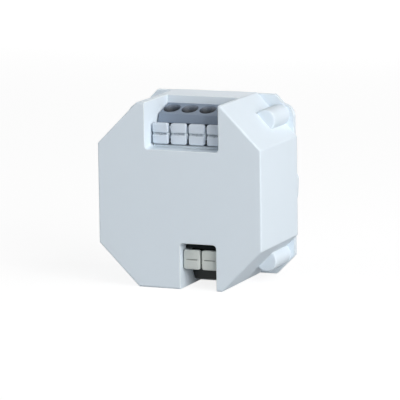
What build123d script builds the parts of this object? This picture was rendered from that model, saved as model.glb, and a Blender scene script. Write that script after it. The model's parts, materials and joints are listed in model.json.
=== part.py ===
from build123d import *
from dataclasses import dataclass
from math import sqrt
import os

# A flush-mounted switching module for a 60 mm wall box, in millimetres.
# Every function models in housing axes: X to the right, Y back from the middle of the front face, Z up.
# save() moves each piece so that the finished part stands on Z = 0, with its middle over the origin.

# Housing shell
WIDTH = 45.0                # left side to right side
HEIGHT = 48.0               # bottom to top
CORNER_CUT = 11.0           # taken off each corner at 45 degrees
SHELL_DEPTH = 26.1          # front face to rear edge
WALL = 1.5                  # side walls
FRONT_WALL = 1.6
POCKET_WALL = 1.2           # walls round the notch and the slot
EDGE_ROUND = 0.45           # outer edges of the moulding
FIT_GAP = 0.15              # between pieces that fit into each other

# Notch for the upper terminal, open at the top and at the front
NOTCH_CENTRE = 0.8
NOTCH_SIDE_GAP = 0.4        # beside the upper terminal
NOTCH_FLOOR = 11.9          # above the middle of the front
NOTCH_DEPTH = 15.5
LEDGE_HEIGHT = 0.6          # ledge across the notch under the upper buttons
LEDGE_THICKNESS = 0.8
LEDGE_GAP = 0.2             # between the ledge and the upper terminal's heel

# Slot for the lower terminal, open at the bottom and at the front
SLOT_CENTRE = 5.03
SLOT_SIDE_GAP = 0.22
SLOT_CEILING = 12.0         # below the middle of the front
SLOT_DEPTH = 14.0
POCKET_CORNER = 1.0         # radius of the corners seen from the front

# Screw bosses on the corner cuts
BOSS_RADIUS = 2.85
BOSS_LENGTH = 10.7          # forward from the rear edge of the shell
BOSS_OUT = 0.35             # axis outside the plane of the corner cut
BOSS_SLIDE = 0.6            # axis off the middle of the corner cut, towards the side
BOSS_ROUND = 0.4            # front edge of a boss
SCREW_RADIUS = 1.1
SCREW_LENGTH = 9.0
SCREW_HEAD_RADIUS = 1.95
SCREW_HEAD_DEPTH = 0.9
SCREW_CLEARANCE = 0.06      # round the screw in its boss

# Rear cover
COVER_THICKNESS = 1.4
COVER_INSET_SIDE = 0.8      # narrower than the shell at each side
COVER_INSET_TOP = 0.3       # lower than the shell at top and bottom
COVER_CORNER_CUT = 5.2
LOBE_RADIUS = 3.0           # rounds of the cover at the upper right and lower left screw
LOBE_SLIDE = 0.9            # middle of a round off the screw's axis, towards the side
LIP_HEIGHT = 1.5            # rim that enters the shell
LIP_THICKNESS = 1.0
TAB_TOP = 3.8               # side tabs for lifting the cover off, about the middle of the height
TAB_BOTTOM = -4.9
TAB_STEP = 0.2              # gap between a tab and the shell's rear edge
POST_RADIUS = 1.5           # posts that hold the main board on its seat

# Boards
BOARD_THICKNESS = 1.6
BOARD_GAP = 0.4             # between the main board and the walls
BOARD_SEAT = 1.6            # width of the ribs that carry the main board
SEAT_HALF_WIDTH = 1.2       # half the height of those ribs
PART_GAP = 0.3              # least space between pieces on the main board, and to the shell
EDGE_ROOM = 1.2             # between the side walls and the row of capacitors
CONTROL_BOARD_THICKNESS = 1.0
CONTROL_LENGTH = 24.4
CONTROL_WIDTH = 22.0
CONTROL_SIDE_ROOM = 2.4     # between the left wall and the control board
CONTROL_DROP = 1.2          # middle of the control board below the middle of the shell
CONTROL_ROUND = 1.0
CONTROL_MARGIN = 1.2        # bare edge of the control board
REAR_ROOM = 3.2             # between the control board and the insulating sheet
SHEET_THICKNESS = 0.3
PIN_RADIUS = 0.4
PIN_PROUD = 1.0             # solder pins behind the board
HOLE_GAP = 0.1              # round a pin in its hole
HEADER_PITCH = 2.54
HEADER_COUNT = 6
HEADER_PIN_RADIUS = 0.32
HEADER_PIN_PROUD = 0.6
HEADER_INSET = 3.2          # pin row from the control board's left edge

# Push-in terminals
POLE_PITCH = 5.0
TERMINAL_BACK_GAP = 0.1     # between a terminal and the rear wall of its pocket
END_TRIM = 0.2              # the row of poles is this much short at each end
HEEL_ROUND = 0.85           # clears the round corners of the pocket
CAP_THICKNESS = 1.1         # front pad of a button
CAP_GAP = 0.15              # above and below a button in its channel
CAP_ROUND = 0.55
STEM_STEP = 0.2             # a button's stem is this much narrower than its cap at each side
STEM_HEIGHT = 2.8
SHANK_WIDTH = 2.6
SHANK_HEIGHT = 2.4
SHANK_GAP = 0.08            # sliding clearance of a shank in its hole
SHANK_PROUD = 0.3           # shank inside the clamp chamber
BUTTON_TRAVEL = 1.2
TRAVEL_MARGIN = 0.2         # left behind a cap when it is pushed home
CHANNEL_SKIN = 0.9          # wall behind the buttons
CLAMP_WIDTH = 3.9           # clamp chamber of one pole
CLAMP_BACK_SKIN = 0.6
SPRING_WIDTH = 3.0
SPRING_STRIP = 0.3
CONTACT_WIDTH = 3.2
CONTACT_STRIP = 0.5
SIDE_GAP = 0.3              # spring to shank, spring to contact

# Relay
RELAY_LENGTH = 19.6
RELAY_WIDTH = 9.8
RELAY_ROOM = 1.3            # between the front wall and the relay
RELAY_WALL = 0.6
RELAY_FLANGE = 0.7
RELAY_BASE = 1.8            # flange and plug together
COIL_INSET = 5.6            # coil axis from the relay's left side
COIL_RADIUS = 3.6
COIL_FLANGE = 0.7
COIL_FLANGE_HALF = 3.8
CORE_RADIUS = 1.5
CORE_PROUD = 0.5            # core beyond the coil
YOKE_SPACE = 0.9            # between coil and yoke
YOKE_THICKNESS = 1.0
YOKE_HALF_WIDTH = 3.2
YOKE_STAND = 0.2            # between the yoke and the plug of the base
ARMATURE_ROOM = 0.9         # in front of the armature
ARMATURE_THICKNESS = 0.9
ARMATURE_GAP = 0.65         # core face to armature when released
ARMATURE_SEAT = 0.15        # armature to the yoke's edge
ARMATURE_HALF_WIDTH = 3.0
ARMATURE_REACH = 3.2        # past the coil axis
LEAF_SPACE = 1.0            # between yoke and leaf
LEAF_THICKNESS = 0.3
LEAF_HALF_WIDTH = 1.6
LEAF_LENGTH = 6.2
RIVET_RADIUS = 0.9
RIVET_PROUD = 0.4
CONTACT_GAP = 0.6           # between the rivets when released
FIXED_BLADE = 0.8

# Transformer
CORE_LENGTH = 12.6
CORE_LEG = 1.7
CORE_WINDOW = 2.5
CORE_MIDDLE = 3.0
CORE_THICKNESS = 5.0
BOBBIN_LENGTH = 12.6
BOBBIN_WIDTH = 10.8
BOBBIN_BASE = 1.8
BOBBIN_WALL = 0.5
WINDING_DEPTH = 1.5
TRANSFORMER_PIN_ROW = 10.8
TRANSFORMER_PIN_PITCH = 4.0

# Other pieces on the main board
FILM_LENGTH = 12.8
FILM_WIDTH = 5.6
FILM_HEIGHT = 10.5
FILM_ROUND = 0.35
FILM_PIN_SPACING = 10.0
CAN_STAND = 0.3
CAN_GROOVE = 0.35
CAN_SCORE = 0.2
DRUM_FLANGE = 1.2
DRUM_CORE_RADIUS = 1.4
CHOKE_ROOM = 1.0            # between the choke and the bottom wall
VARISTOR_RADIUS = 3.7
VARISTOR_THICKNESS = 3.4
VARISTOR_STAND = 1.2
VARISTOR_PIN_SPACING = 5.0
VARISTOR_PIN_OFFSET = 1.0
FUSE_LENGTH = 7.0
FUSE_RADIUS = 1.6
FUSE_STAND = 0.6
FUSE_PIN_SPACING = 9.6
RECTIFIER_ROOM = 0.9        # between the rectifier and the notch's wall
LEG_WIDTH = 0.4
LEG_THICKNESS = 0.25
LEG_REACH = 0.7
MARK_RADIUS = 0.35          # round mark beside a chip's first leg
MARK_DEPTH = 0.12

# Pieces on the control board
SHIELD_LENGTH = 10.2
SHIELD_WIDTH = 6.7
SHIELD_HEIGHT = 1.7
SHIELD_WALL = 0.2
CRYSTAL_LENGTH = 3.2
CRYSTAL_WIDTH = 2.5
CRYSTAL_HEIGHT = 0.9
CRYSTAL_SPACE = 2.7         # between processor and crystal
ANTENNA_LENGTH = 16.6
ANTENNA_WIDTH = 2.8
ANTENNA_HEIGHT = 1.9
ANTENNA_STRIP = 0.4
ANTENNA_FEED = 4.0          # between the antenna's two legs

ROOT_HALF = sqrt(2)


@dataclass
class Terminal:
    """Side profile of one push-in terminal; reach is measured from the buttons' middle to the wire side."""
    name: str
    poles: int
    centre_x: float
    centre_z: float
    side: int
    back: float
    cap_width: float
    cap_height: float
    cap_front: float
    heel_front: float
    heel_lean: float
    heel_reach: float
    channel_floor: float
    head_front: float
    brow_front: float
    brow_reach: float
    back_reach: float
    entry_y: float
    entry_radius: float
    funnel_radius: float
    chamber_low: float
    chamber_high: float
    pin_reach: float

    def z(self, reach):
        return self.centre_z + self.side * reach

    def pole_x(self, index):
        return self.centre_x + (index - (self.poles - 1) / 2) * POLE_PITCH

    def half_width(self):
        return self.poles * POLE_PITCH / 2 - END_TRIM

    def span(self, low, high):
        """Height range between two reaches, lowest first."""
        return tuple(sorted((self.z(low), self.z(high))))


UPPER_BACK = NOTCH_DEPTH - TERMINAL_BACK_GAP
LOWER_BACK = SLOT_DEPTH - TERMINAL_BACK_GAP
UPPER = Terminal(
    name="upper", poles=4, centre_x=NOTCH_CENTRE, centre_z=NOTCH_FLOOR + 3.65, side=1,
    back=UPPER_BACK,
    cap_width=4.3, cap_height=5.45, cap_front=UPPER_BACK - 11.3,
    heel_front=UPPER_BACK - 9.0, heel_lean=0.3, heel_reach=3.5,
    channel_floor=UPPER_BACK - 6.3, head_front=UPPER_BACK - 7.3,
    brow_front=UPPER_BACK - 6.3, brow_reach=4.45, back_reach=6.4,
    entry_y=UPPER_BACK - 3.4, entry_radius=1.85, funnel_radius=2.2,
    chamber_low=2.6, chamber_high=2.2, pin_reach=-1.4)

LOWER = Terminal(
    name="lower", poles=2, centre_x=SLOT_CENTRE, centre_z=-SLOT_CEILING - 4.43, side=-1,
    back=LOWER_BACK,
    cap_width=4.5, cap_height=5.1, cap_front=LOWER_BACK - 12.2,
    heel_front=LOWER_BACK - 10.3, heel_lean=1.0, heel_reach=4.28,
    channel_floor=LOWER_BACK - 6.0, head_front=LOWER_BACK - 6.3,
    brow_front=LOWER_BACK - 4.3, brow_reach=6.37, back_reach=7.35,
    entry_y=LOWER_BACK - 2.6, entry_radius=1.35, funnel_radius=1.85,
    chamber_low=2.5, chamber_high=2.6, pin_reach=-1.4)

TERMINALS = (UPPER, LOWER)

DEPTH = SHELL_DEPTH + COVER_THICKNESS
BOSS_X = WIDTH / 2 - CORNER_CUT / 2 + (BOSS_OUT + BOSS_SLIDE) / ROOT_HALF
BOSS_Z = HEIGHT / 2 - CORNER_CUT / 2 + (BOSS_OUT - BOSS_SLIDE) / ROOT_HALF
BOSSES = [(sx * BOSS_X, sz * BOSS_Z) for sx in (-1, 1) for sz in (-1, 1)]
BOARD_FRONT = max(NOTCH_DEPTH, SLOT_DEPTH) + POCKET_WALL
BOARD_BACK = BOARD_FRONT + BOARD_THICKNESS
CONTROL_BACK = SHELL_DEPTH - SHEET_THICKNESS - REAR_ROOM
CONTROL_FRONT = CONTROL_BACK - CONTROL_BOARD_THICKNESS
PIN_END = BOARD_BACK + PIN_PROUD


def block(x, y, z):
    """Box between two limits along each axis."""
    middle = [(low + high) / 2 for low, high in (x, y, z)]
    return Pos(*middle) * Box(x[1] - x[0], y[1] - y[0], z[1] - z[0])


def rod_y(x, z, radius, y):
    return Pos(x, (y[0] + y[1]) / 2, z) * Rot(90, 0, 0) * Cylinder(radius, y[1] - y[0])


def rod_x(y, z, radius, x):
    return Pos((x[0] + x[1]) / 2, y, z) * Rot(0, 90, 0) * Cylinder(radius, x[1] - x[0])


def rod_z(x, y, radius, z):
    return Pos(x, y, (z[0] + z[1]) / 2) * Cylinder(radius, z[1] - z[0])


def plate(points, y):
    """Closed outline of (x, z) points, between two depths."""
    face = Plane.XZ.offset(-y[1]) * make_face(Polyline(*points, close=True))
    return extrude(face, amount=y[1] - y[0])


def rail(points, x):
    """Closed outline of (y, z) points, between two places along X."""
    face = Plane.YZ.offset(x[0]) * make_face(Polyline(*points, close=True))
    return extrude(face, amount=x[1] - x[0])


def octagon(half_width, half_height, cut):
    w, h = half_width, half_height
    return [(-w + cut, h), (w - cut, h), (w, h - cut), (w, cut - h),
            (w - cut, -h), (cut - w, -h), (-w, cut - h), (-w, h - cut)]


def shell_outline(inset):
    """Outline of the shell moved inwards by the same distance everywhere."""
    cut = CORNER_CUT - inset * (2 - ROOT_HALF)
    return octagon(WIDTH / 2 - inset, HEIGHT / 2 - inset, cut)


def boss_limit(gap):
    """Sum of |x| and |z| up to which an inner plate stays clear of the bosses."""
    return BOSS_X + BOSS_Z - (BOSS_RADIUS + gap) * ROOT_HALF


def spread(sizes, low, high):
    """Middles of pieces set in a row between two limits, with equal gaps."""
    gap = (high - low - sum(sizes)) / (len(sizes) - 1)
    middles = []
    for size in sizes:
        middles.append(low + size / 2)
        low += size + gap
    return middles


def rounded(solid, axis, radius):
    return fillet(solid.edges().filter_by(axis), radius)


def pocket_limits(terminal, side_gap):
    half = terminal.half_width() + side_gap
    return terminal.centre_x - half, terminal.centre_x + half


NOTCH_X = pocket_limits(UPPER, NOTCH_SIDE_GAP)
SLOT_X = pocket_limits(LOWER, SLOT_SIDE_GAP)


def pocket(x, y, z, open_side):
    """Space of the notch or slot, with round corners on the side that faces the middle of the front."""
    space = block(x, y, z)
    inner = space.edges().filter_by(Axis.Y).sort_by(Axis.Z)
    inner = inner[:2] if open_side > 0 else inner[-2:]
    return fillet(inner, POCKET_CORNER)


def boss(x, z):
    """Screw boss with a rounded front edge."""
    post = rod_y(x, z, BOSS_RADIUS, (SHELL_DEPTH - BOSS_LENGTH, SHELL_DEPTH))
    return fillet(post.edges().sort_by(Axis.Y)[0], BOSS_ROUND)


def ledge():
    """Low wall across the notch, in front of the upper terminal's heel."""
    back = UPPER.heel_front - LEDGE_GAP
    return block(NOTCH_X, (back - LEDGE_THICKNESS, back),
                 (NOTCH_FLOOR - POCKET_WALL / 2, NOTCH_FLOOR + LEDGE_HEIGHT))


def front_housing():
    """Shell with the notch, the slot, the four bosses and the ribs that carry the main board."""
    over = 1.0
    body = rounded(plate(shell_outline(0), (0, SHELL_DEPTH)), Axis.Y, EDGE_ROUND)
    body = fillet(body.faces().sort_by(Axis.Y)[0].edges(), EDGE_ROUND)
    top, bottom = HEIGHT / 2, -HEIGHT / 2
    body -= pocket(NOTCH_X, (-over, NOTCH_DEPTH), (NOTCH_FLOOR, top + over), 1)
    body -= pocket(SLOT_X, (-over, SLOT_DEPTH), (bottom - over, -SLOT_CEILING), -1)

    cavity = plate(shell_outline(WALL), (FRONT_WALL, SHELL_DEPTH + over))
    wall = POCKET_WALL
    cavity -= block((NOTCH_X[0] - wall, NOTCH_X[1] + wall), (0, NOTCH_DEPTH + wall),
                    (NOTCH_FLOOR - wall, top))
    cavity -= block((SLOT_X[0] - wall, SLOT_X[1] + wall), (0, SLOT_DEPTH + wall),
                    (bottom, wall - SLOT_CEILING))
    for x, z in BOSSES:
        cavity -= rod_y(x, z, BOSS_RADIUS, (SHELL_DEPTH - BOSS_LENGTH, SHELL_DEPTH + over))
    rib_x = WIDTH / 2 - WALL - BOARD_SEAT
    for side in (-1, 1):
        rib = sorted((side * rib_x, side * WIDTH / 2))
        cavity -= block(rib, (0, BOARD_FRONT), (-SEAT_HALF_WIDTH, SEAT_HALF_WIDTH))

    for x, z in BOSSES:
        body += boss(x, z)
    body -= cavity
    body += ledge()
    pilot = SHELL_DEPTH - SCREW_LENGTH
    for x, z in BOSSES:
        body -= rod_y(x, z, SCREW_RADIUS + SCREW_CLEARANCE, (pilot, SHELL_DEPTH + over))
    for terminal in TERMINALS:
        for x, z in terminal_pins(terminal):
            body -= rod_y(x, z, PIN_RADIUS + 2 * HOLE_GAP, (terminal.back - over, BOARD_FRONT))
    return body


def tab_outline(side):
    """Side tab seen from the front: steep at the top, tapering off downwards."""
    outer = WIDTH / 2
    edge = outer - COVER_INSET_SIDE
    shoulder = TAB_TOP - 1.8
    taper = TAB_BOTTOM + 2.3
    points = [(edge - 1, TAB_BOTTOM), (edge, TAB_BOTTOM), (outer - 0.2, taper),
              (outer, shoulder), (edge, TAB_TOP), (edge - 1, TAB_TOP)]
    return [(side * x, z) for x, z in points]


def rear_cover():
    """Plate with two rounded lobes, a rim that enters the shell, side tabs and board posts."""
    half_w, half_h = WIDTH / 2 - COVER_INSET_SIDE, HEIGHT / 2 - COVER_INSET_TOP
    depth = (SHELL_DEPTH, DEPTH)
    cover = plate(octagon(half_w, half_h, COVER_CORNER_CUT), depth)
    for side in (-1, 1):
        cover += rod_y(side * (BOSS_X + LOBE_SLIDE), side * BOSS_Z, LOBE_RADIUS, depth)
        cover += plate(tab_outline(side), (SHELL_DEPTH + TAB_STEP, DEPTH))
    rear_edges = cover.edges().filter_by_position(Axis.Y, DEPTH - 0.01, DEPTH + 0.01)
    cover = fillet(rear_edges, EDGE_ROUND / 2)

    lip = (SHELL_DEPTH - LIP_HEIGHT, SHELL_DEPTH)
    rim = (plate(shell_outline(WALL + FIT_GAP), lip)
           - plate(shell_outline(WALL + FIT_GAP + LIP_THICKNESS), lip))
    for x, z in BOSSES:
        rim -= rod_y(x, z, BOSS_RADIUS + 2 * FIT_GAP, lip)
    cover += rim
    for x, z in POSTS:
        cover += rod_y(x, z, POST_RADIUS, (BOARD_BACK, SHELL_DEPTH))
    for x, z in BOSSES:
        cover -= rod_y(x, z, SCREW_RADIUS + 2 * SCREW_CLEARANCE, (SHELL_DEPTH - 1, DEPTH + 1))
        cover -= countersink(x, z, SCREW_CLEARANCE)
    return cover


def countersink(x, z, gap):
    """Cone of a screw head, wider by gap all round."""
    cone = Cone(SCREW_HEAD_RADIUS + gap, SCREW_RADIUS + gap, SCREW_HEAD_DEPTH)
    return Pos(x, DEPTH - SCREW_HEAD_DEPTH / 2, z) * Rot(90, 0, 0) * cone


def cover_screws():
    """Four countersunk screws with a cross recess."""
    recess_width, recess_depth = 0.45, 0.6
    screws = []
    for x, z in BOSSES:
        tip = SHELL_DEPTH - SCREW_LENGTH + 0.5
        screw = rod_y(x, z, SCREW_RADIUS, (tip, DEPTH - SCREW_HEAD_DEPTH)) + countersink(x, z, 0)
        reach = 0.65 * SCREW_HEAD_RADIUS
        for long, short in ((reach, recess_width / 2), (recess_width / 2, reach)):
            screw -= block((x - long, x + long), (DEPTH - recess_depth, DEPTH + 1), (z - short, z + short))
        screws.append(screw)
    return screws


def terminal_pins(terminal):
    """Places of a terminal's solder pins."""
    return [(terminal.pole_x(i), terminal.z(terminal.pin_reach)) for i in range(terminal.poles)]


def chamber_depth(terminal):
    return terminal.channel_floor + CHANNEL_SKIN, terminal.back - CLAMP_BACK_SKIN


def entry_base(terminal):
    """Height where the wire entry's wall begins, at the clamp chamber."""
    return terminal.z(terminal.chamber_high)


def entry_face(terminal, y):
    """Reach of the sloping wire face at a depth."""
    slope = (terminal.back_reach - terminal.brow_reach) / (terminal.back - terminal.brow_front)
    return terminal.brow_reach + slope * (y - terminal.brow_front)


def terminal_housing(terminal):
    """Moulded block with the button channel, the clamp chambers and the wire entries."""
    t = terminal
    half = t.half_width()
    channel = t.cap_height / 2 + CAP_GAP
    profile = [(t.back, -t.heel_reach), (t.heel_front + t.heel_lean, -t.heel_reach),
               (t.heel_front, -channel),
               (t.channel_floor, -channel), (t.channel_floor, channel), (t.head_front, channel),
               (t.brow_front, t.brow_reach), (t.back, t.back_reach)]
    body = rail([(y, t.z(reach)) for y, reach in profile], (t.centre_x - half, t.centre_x + half))
    heel = body.edges().filter_by(Axis.Y).filter_by_position(
        Axis.Z, *t.span(-t.heel_reach - 0.01, 0.01 - t.heel_reach))
    body = fillet(heel, HEEL_ROUND)
    funnel_depth = 0.95 * (t.funnel_radius - t.entry_radius) + 0.55
    surface = t.z(entry_face(t, t.entry_y))
    for i in range(t.poles):
        x = t.pole_x(i)
        chamber_x = (x - CLAMP_WIDTH / 2, x + CLAMP_WIDTH / 2)
        body -= block(chamber_x, chamber_depth(t), t.span(-t.chamber_low, t.chamber_high))
        hole_w, hole_h = SHANK_WIDTH / 2 + SHANK_GAP, SHANK_HEIGHT / 2 + SHANK_GAP
        body -= block((x - hole_w, x + hole_w), (t.channel_floor - 1, t.channel_floor + CHANNEL_SKIN),
                      (t.centre_z - hole_h, t.centre_z + hole_h))
        bore = sorted((entry_base(t) - t.side * 0.1, t.z(t.back_reach + 2)))
        body -= rod_z(x, t.entry_y, t.entry_radius, bore)
        flare = t.funnel_radius + (t.funnel_radius - t.entry_radius) * 0.5 / funnel_depth
        wide, narrow = (flare, t.entry_radius) if t.side > 0 else (t.entry_radius, flare)
        cone = Cone(narrow, wide, funnel_depth + 0.5)
        body -= Pos(x, t.entry_y, surface + t.side * (0.5 - funnel_depth) / 2) * cone
    for x, z in terminal_pins(t):
        body -= rod_y(x, z, PIN_RADIUS + HOLE_GAP, (t.back - 2 * CLAMP_BACK_SKIN, t.back + 1))
    return body


def push_button(terminal, index):
    """Rounded cap with a marked middle line, on a stem whose shank enters the clamp chamber."""
    t = terminal
    x, z = t.pole_x(index), t.centre_z
    half_w, half_h = t.cap_width / 2, t.cap_height / 2
    cap_back = t.cap_front + CAP_THICKNESS
    cap = block((x - half_w, x + half_w), (t.cap_front, cap_back), (z - half_h, z + half_h))
    cap = rounded(cap, Axis.Y, CAP_ROUND)
    if t.side > 0:
        groove_depth, groove = 0.4, 0.38
        cap -= block((x - t.cap_width, x + t.cap_width), (t.cap_front - 1, t.cap_front + groove_depth),
                     (z - groove, z + groove))
    front = cap.edges().filter_by_position(Axis.Y, t.cap_front - 0.01, t.cap_front + 0.01)
    cap = fillet(front, 0.25)
    slit_floor = t.cap_front + (0.75 if t.side > 0 else 0.35)
    slit_half = 0.36 * t.cap_width
    cap -= block((x - slit_half, x + slit_half), (t.cap_front - 1, slit_floor), (z - 0.15, z + 0.15))

    stem_half, stem_back = half_w - STEM_STEP, t.channel_floor - BUTTON_TRAVEL - TRAVEL_MARGIN
    stem = block((x - stem_half, x + stem_half), (cap_back, stem_back),
                 (z - STEM_HEIGHT / 2, z + STEM_HEIGHT / 2))
    shank_end = chamber_depth(t)[0] + SHANK_PROUD
    shank = block((x - SHANK_WIDTH / 2, x + SHANK_WIDTH / 2), (stem_back, shank_end),
                  (z - SHANK_HEIGHT / 2, z + SHANK_HEIGHT / 2))
    return cap + stem + shank


def contact_front(terminal):
    return terminal.entry_y + terminal.entry_radius + 0.05


def contact_rail(terminal, index):
    """Flat contact against which the wire is clamped, with a round solder pin to the main board."""
    t = terminal
    x = t.pole_x(index)
    front = contact_front(t)
    low, high = -t.chamber_low + 0.3, t.chamber_high - 0.2
    blade = block((x - CONTACT_WIDTH / 2, x + CONTACT_WIDTH / 2), (front, front + CONTACT_STRIP),
                  t.span(low, high))
    px, pz = terminal_pins(t)[index]
    return blade + rod_y(px, pz, PIN_RADIUS, (front + CONTACT_STRIP / 2, PIN_END))


def clamp_spring(terminal, index):
    """Folded steel strip between the button's shank and the contact."""
    t = terminal
    x = t.pole_x(index)
    front = chamber_depth(t)[0] + SHANK_PROUD + SIDE_GAP + SPRING_STRIP / 2
    back = contact_front(t) - SIDE_GAP - SPRING_STRIP / 2
    low, high = -t.chamber_low + 0.45, t.chamber_high - 0.45
    path = FilletPolyline((back, t.z(low)), (front, t.z(low)), (front, t.z(high)), (back, t.z(0.35 * high)),
                          radius=0.5)
    strip = trace(path, line_width=SPRING_STRIP)
    face = Plane.YZ.offset(x - SPRING_WIDTH / 2) * strip
    return extrude(face, amount=SPRING_WIDTH)


@dataclass
class Can:
    """Upright round component on the main board."""
    x: float
    z: float
    radius: float
    length: float
    pin_spacing: float

    def pins(self):
        return [(self.x - self.pin_spacing / 2, self.z), (self.x + self.pin_spacing / 2, self.z)]


@dataclass
class Chip:
    """Flat moulded component on a board; away is the direction from the board along Y."""
    x: float
    z: float
    length: float
    width: float
    height: float
    legs: int
    board: float
    away: int

    def body_depth(self):
        return tuple(sorted((self.board + self.away * LEG_THICKNESS, self.board + self.away * self.height)))

    def reach(self):
        """Height over both rows of legs."""
        return self.width + 2 * LEG_REACH

    def outer_leg(self):
        """Far side of the outermost leg from the middle of the shell."""
        return abs(self.x) + self.length / 2 - self.length / self.legs / 2 + LEG_WIDTH / 2


BOARD_LIMIT = boss_limit(BOARD_GAP)
BOSS_CLEAR = BOSS_Z - BOSS_RADIUS - PART_GAP
SEAT_CLEAR = WIDTH / 2 - WALL - BOARD_SEAT - PART_GAP
NOTCH_UNDER = NOTCH_FLOOR - POCKET_WALL
SLOT_OVER = POCKET_WALL - SLOT_CEILING

SMOOTHING = Can(x=0, z=0, radius=4.0, length=11.5, pin_spacing=3.5)
STORAGE = Can(x=0, z=0, radius=3.15, length=11.0, pin_spacing=2.5)
CHOKE = Can(x=0, z=0, radius=3.0, length=7.0, pin_spacing=3.0)
RECTIFIER = Chip(x=0, z=0, length=4.7, width=3.6, height=2.5, legs=2, board=BOARD_FRONT, away=-1)
OPTOCOUPLER = Chip(x=0, z=0, length=5.0, width=4.4, height=3.4, legs=2, board=BOARD_FRONT, away=-1)
PROCESSOR = Chip(x=0, z=0, length=7.0, width=7.0, height=1.1, legs=6, board=CONTROL_BACK, away=1)

# Rows from left to right
TRANSFORMER_X = BOBBIN_LENGTH / 2 - SEAT_CLEAR
RELAY_MIDDLE_X = SEAT_CLEAR - RELAY_LENGTH / 2
row = spread((FILM_LENGTH, 2 * SMOOTHING.radius, 2 * VARISTOR_RADIUS, 2 * STORAGE.radius),
             EDGE_ROOM + WALL - WIDTH / 2, WIDTH / 2 - WALL - EDGE_ROOM)
FILM_X, SMOOTHING.x, VARISTOR_X, STORAGE.x = row
RECTIFIER.x = NOTCH_X[0] - POCKET_WALL - RECTIFIER_ROOM - RECTIFIER.length / 2
OPTOCOUPLER.x = NOTCH_X[1] + POCKET_WALL + PART_GAP + OPTOCOUPLER.length / 2
CHOKE.x = SLOT_X[0] - POCKET_WALL - PART_GAP - CHOKE.radius
CHOKE.z = CHOKE_ROOM + WALL - HEIGHT / 2 + CHOKE.radius

# Left column and right column, from the bottom up
left = spread((2 * FUSE_RADIUS, BOBBIN_WIDTH, FILM_WIDTH, RECTIFIER.reach()),
              -BOSS_CLEAR, min(BOSS_CLEAR, BOARD_LIMIT - RECTIFIER.outer_leg() - PART_GAP))
FUSE_Z, TRANSFORMER_Z, FILM_Z, RECTIFIER.z = left
right = spread((RELAY_WIDTH, 2 * STORAGE.radius, OPTOCOUPLER.reach()),
               SLOT_OVER + 2 * PART_GAP, min(BOSS_CLEAR, BOARD_LIMIT - OPTOCOUPLER.outer_leg() - PART_GAP))
RELAY_MIDDLE_Z, STORAGE.z, OPTOCOUPLER.z = right
SMOOTHING.z = (RELAY_MIDDLE_Z + RELAY_WIDTH / 2 + NOTCH_UNDER) / 2

FILM_CENTRE = (FILM_X, FILM_Z)
FILM_PINS = [(FILM_X - FILM_PIN_SPACING / 2, FILM_Z), (FILM_X + FILM_PIN_SPACING / 2, FILM_Z)]
VARISTOR_CENTRE = (VARISTOR_X, SMOOTHING.z)
VARISTOR_PINS = [(VARISTOR_X + side * VARISTOR_PIN_SPACING / 2,
                  SMOOTHING.z + side * VARISTOR_PIN_OFFSET / 2) for side in (-1, 1)]
FUSE_START = abs(FUSE_Z) + 2 * PIN_RADIUS - BOARD_LIMIT
FUSE_PINS = [(FUSE_START, FUSE_Z), (FUSE_START + FUSE_PIN_SPACING, FUSE_Z)]

TRANSFORMER_CENTRE = (TRANSFORMER_X, TRANSFORMER_Z)
TRANSFORMER_Y = BOARD_FRONT - BOBBIN_BASE - CORE_LEG - CORE_WINDOW - CORE_MIDDLE / 2 - FIT_GAP
TRANSFORMER_PINS = [(TRANSFORMER_X + side * TRANSFORMER_PIN_ROW / 2,
                     TRANSFORMER_Z + step * TRANSFORMER_PIN_PITCH)
                    for side in (-1, 1) for step in (-1, 0, 1)]

RELAY_CENTRE = (RELAY_MIDDLE_X, RELAY_MIDDLE_Z)
RELAY_X = (RELAY_MIDDLE_X - RELAY_LENGTH / 2, RELAY_MIDDLE_X + RELAY_LENGTH / 2)
RELAY_Y = (FRONT_WALL + RELAY_ROOM, BOARD_FRONT)
RELAY_Z = (RELAY_MIDDLE_Z - RELAY_WIDTH / 2, RELAY_MIDDLE_Z + RELAY_WIDTH / 2)
FLANGE_FRONT = BOARD_FRONT - RELAY_FLANGE
PLUG_FRONT = BOARD_FRONT - RELAY_BASE
COIL_X = RELAY_X[0] + COIL_INSET
YOKE_X = (COIL_X + COIL_RADIUS + YOKE_SPACE, COIL_X + COIL_RADIUS + YOKE_SPACE + YOKE_THICKNESS)
YOKE_FOOT = (PLUG_FRONT - YOKE_STAND - YOKE_THICKNESS, PLUG_FRONT - YOKE_STAND)
ARMATURE_Y = (RELAY_Y[0] + RELAY_WALL + ARMATURE_ROOM,
              RELAY_Y[0] + RELAY_WALL + ARMATURE_ROOM + ARMATURE_THICKNESS)
CORE_FACE = ARMATURE_Y[1] + ARMATURE_GAP
LEAF_X = (YOKE_X[1] + LEAF_SPACE, YOKE_X[1] + LEAF_SPACE + LEAF_THICKNESS)
LEAF_END = ARMATURE_Y[1] + LEAF_LENGTH
RIVET_Y = LEAF_END - 1.3 * RIVET_RADIUS
FIXED_START = LEAF_X[1] + 2 * RIVET_PROUD + CONTACT_GAP
FIXED_X = (FIXED_START, FIXED_START + FIXED_BLADE)
RELAY_PINS = [(COIL_X - COIL_RADIUS, RELAY_MIDDLE_Z - COIL_RADIUS + 2 * PIN_RADIUS),
              (COIL_X - COIL_RADIUS, RELAY_MIDDLE_Z + COIL_RADIUS - 2 * PIN_RADIUS),
              ((YOKE_X[0] + YOKE_X[1]) / 2, RELAY_MIDDLE_Z),
              ((FIXED_X[0] + FIXED_X[1]) / 2, RELAY_MIDDLE_Z)]

# Posts behind the main board, in places free of solder pins
POSTS = [(RELAY_MIDDLE_X + RELAY_LENGTH / 6, RELAY_Z[1] + 1.5 * POST_RADIUS),
         (CHOKE.x - 5.5, CHOKE.z + POST_RADIUS)]

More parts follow.
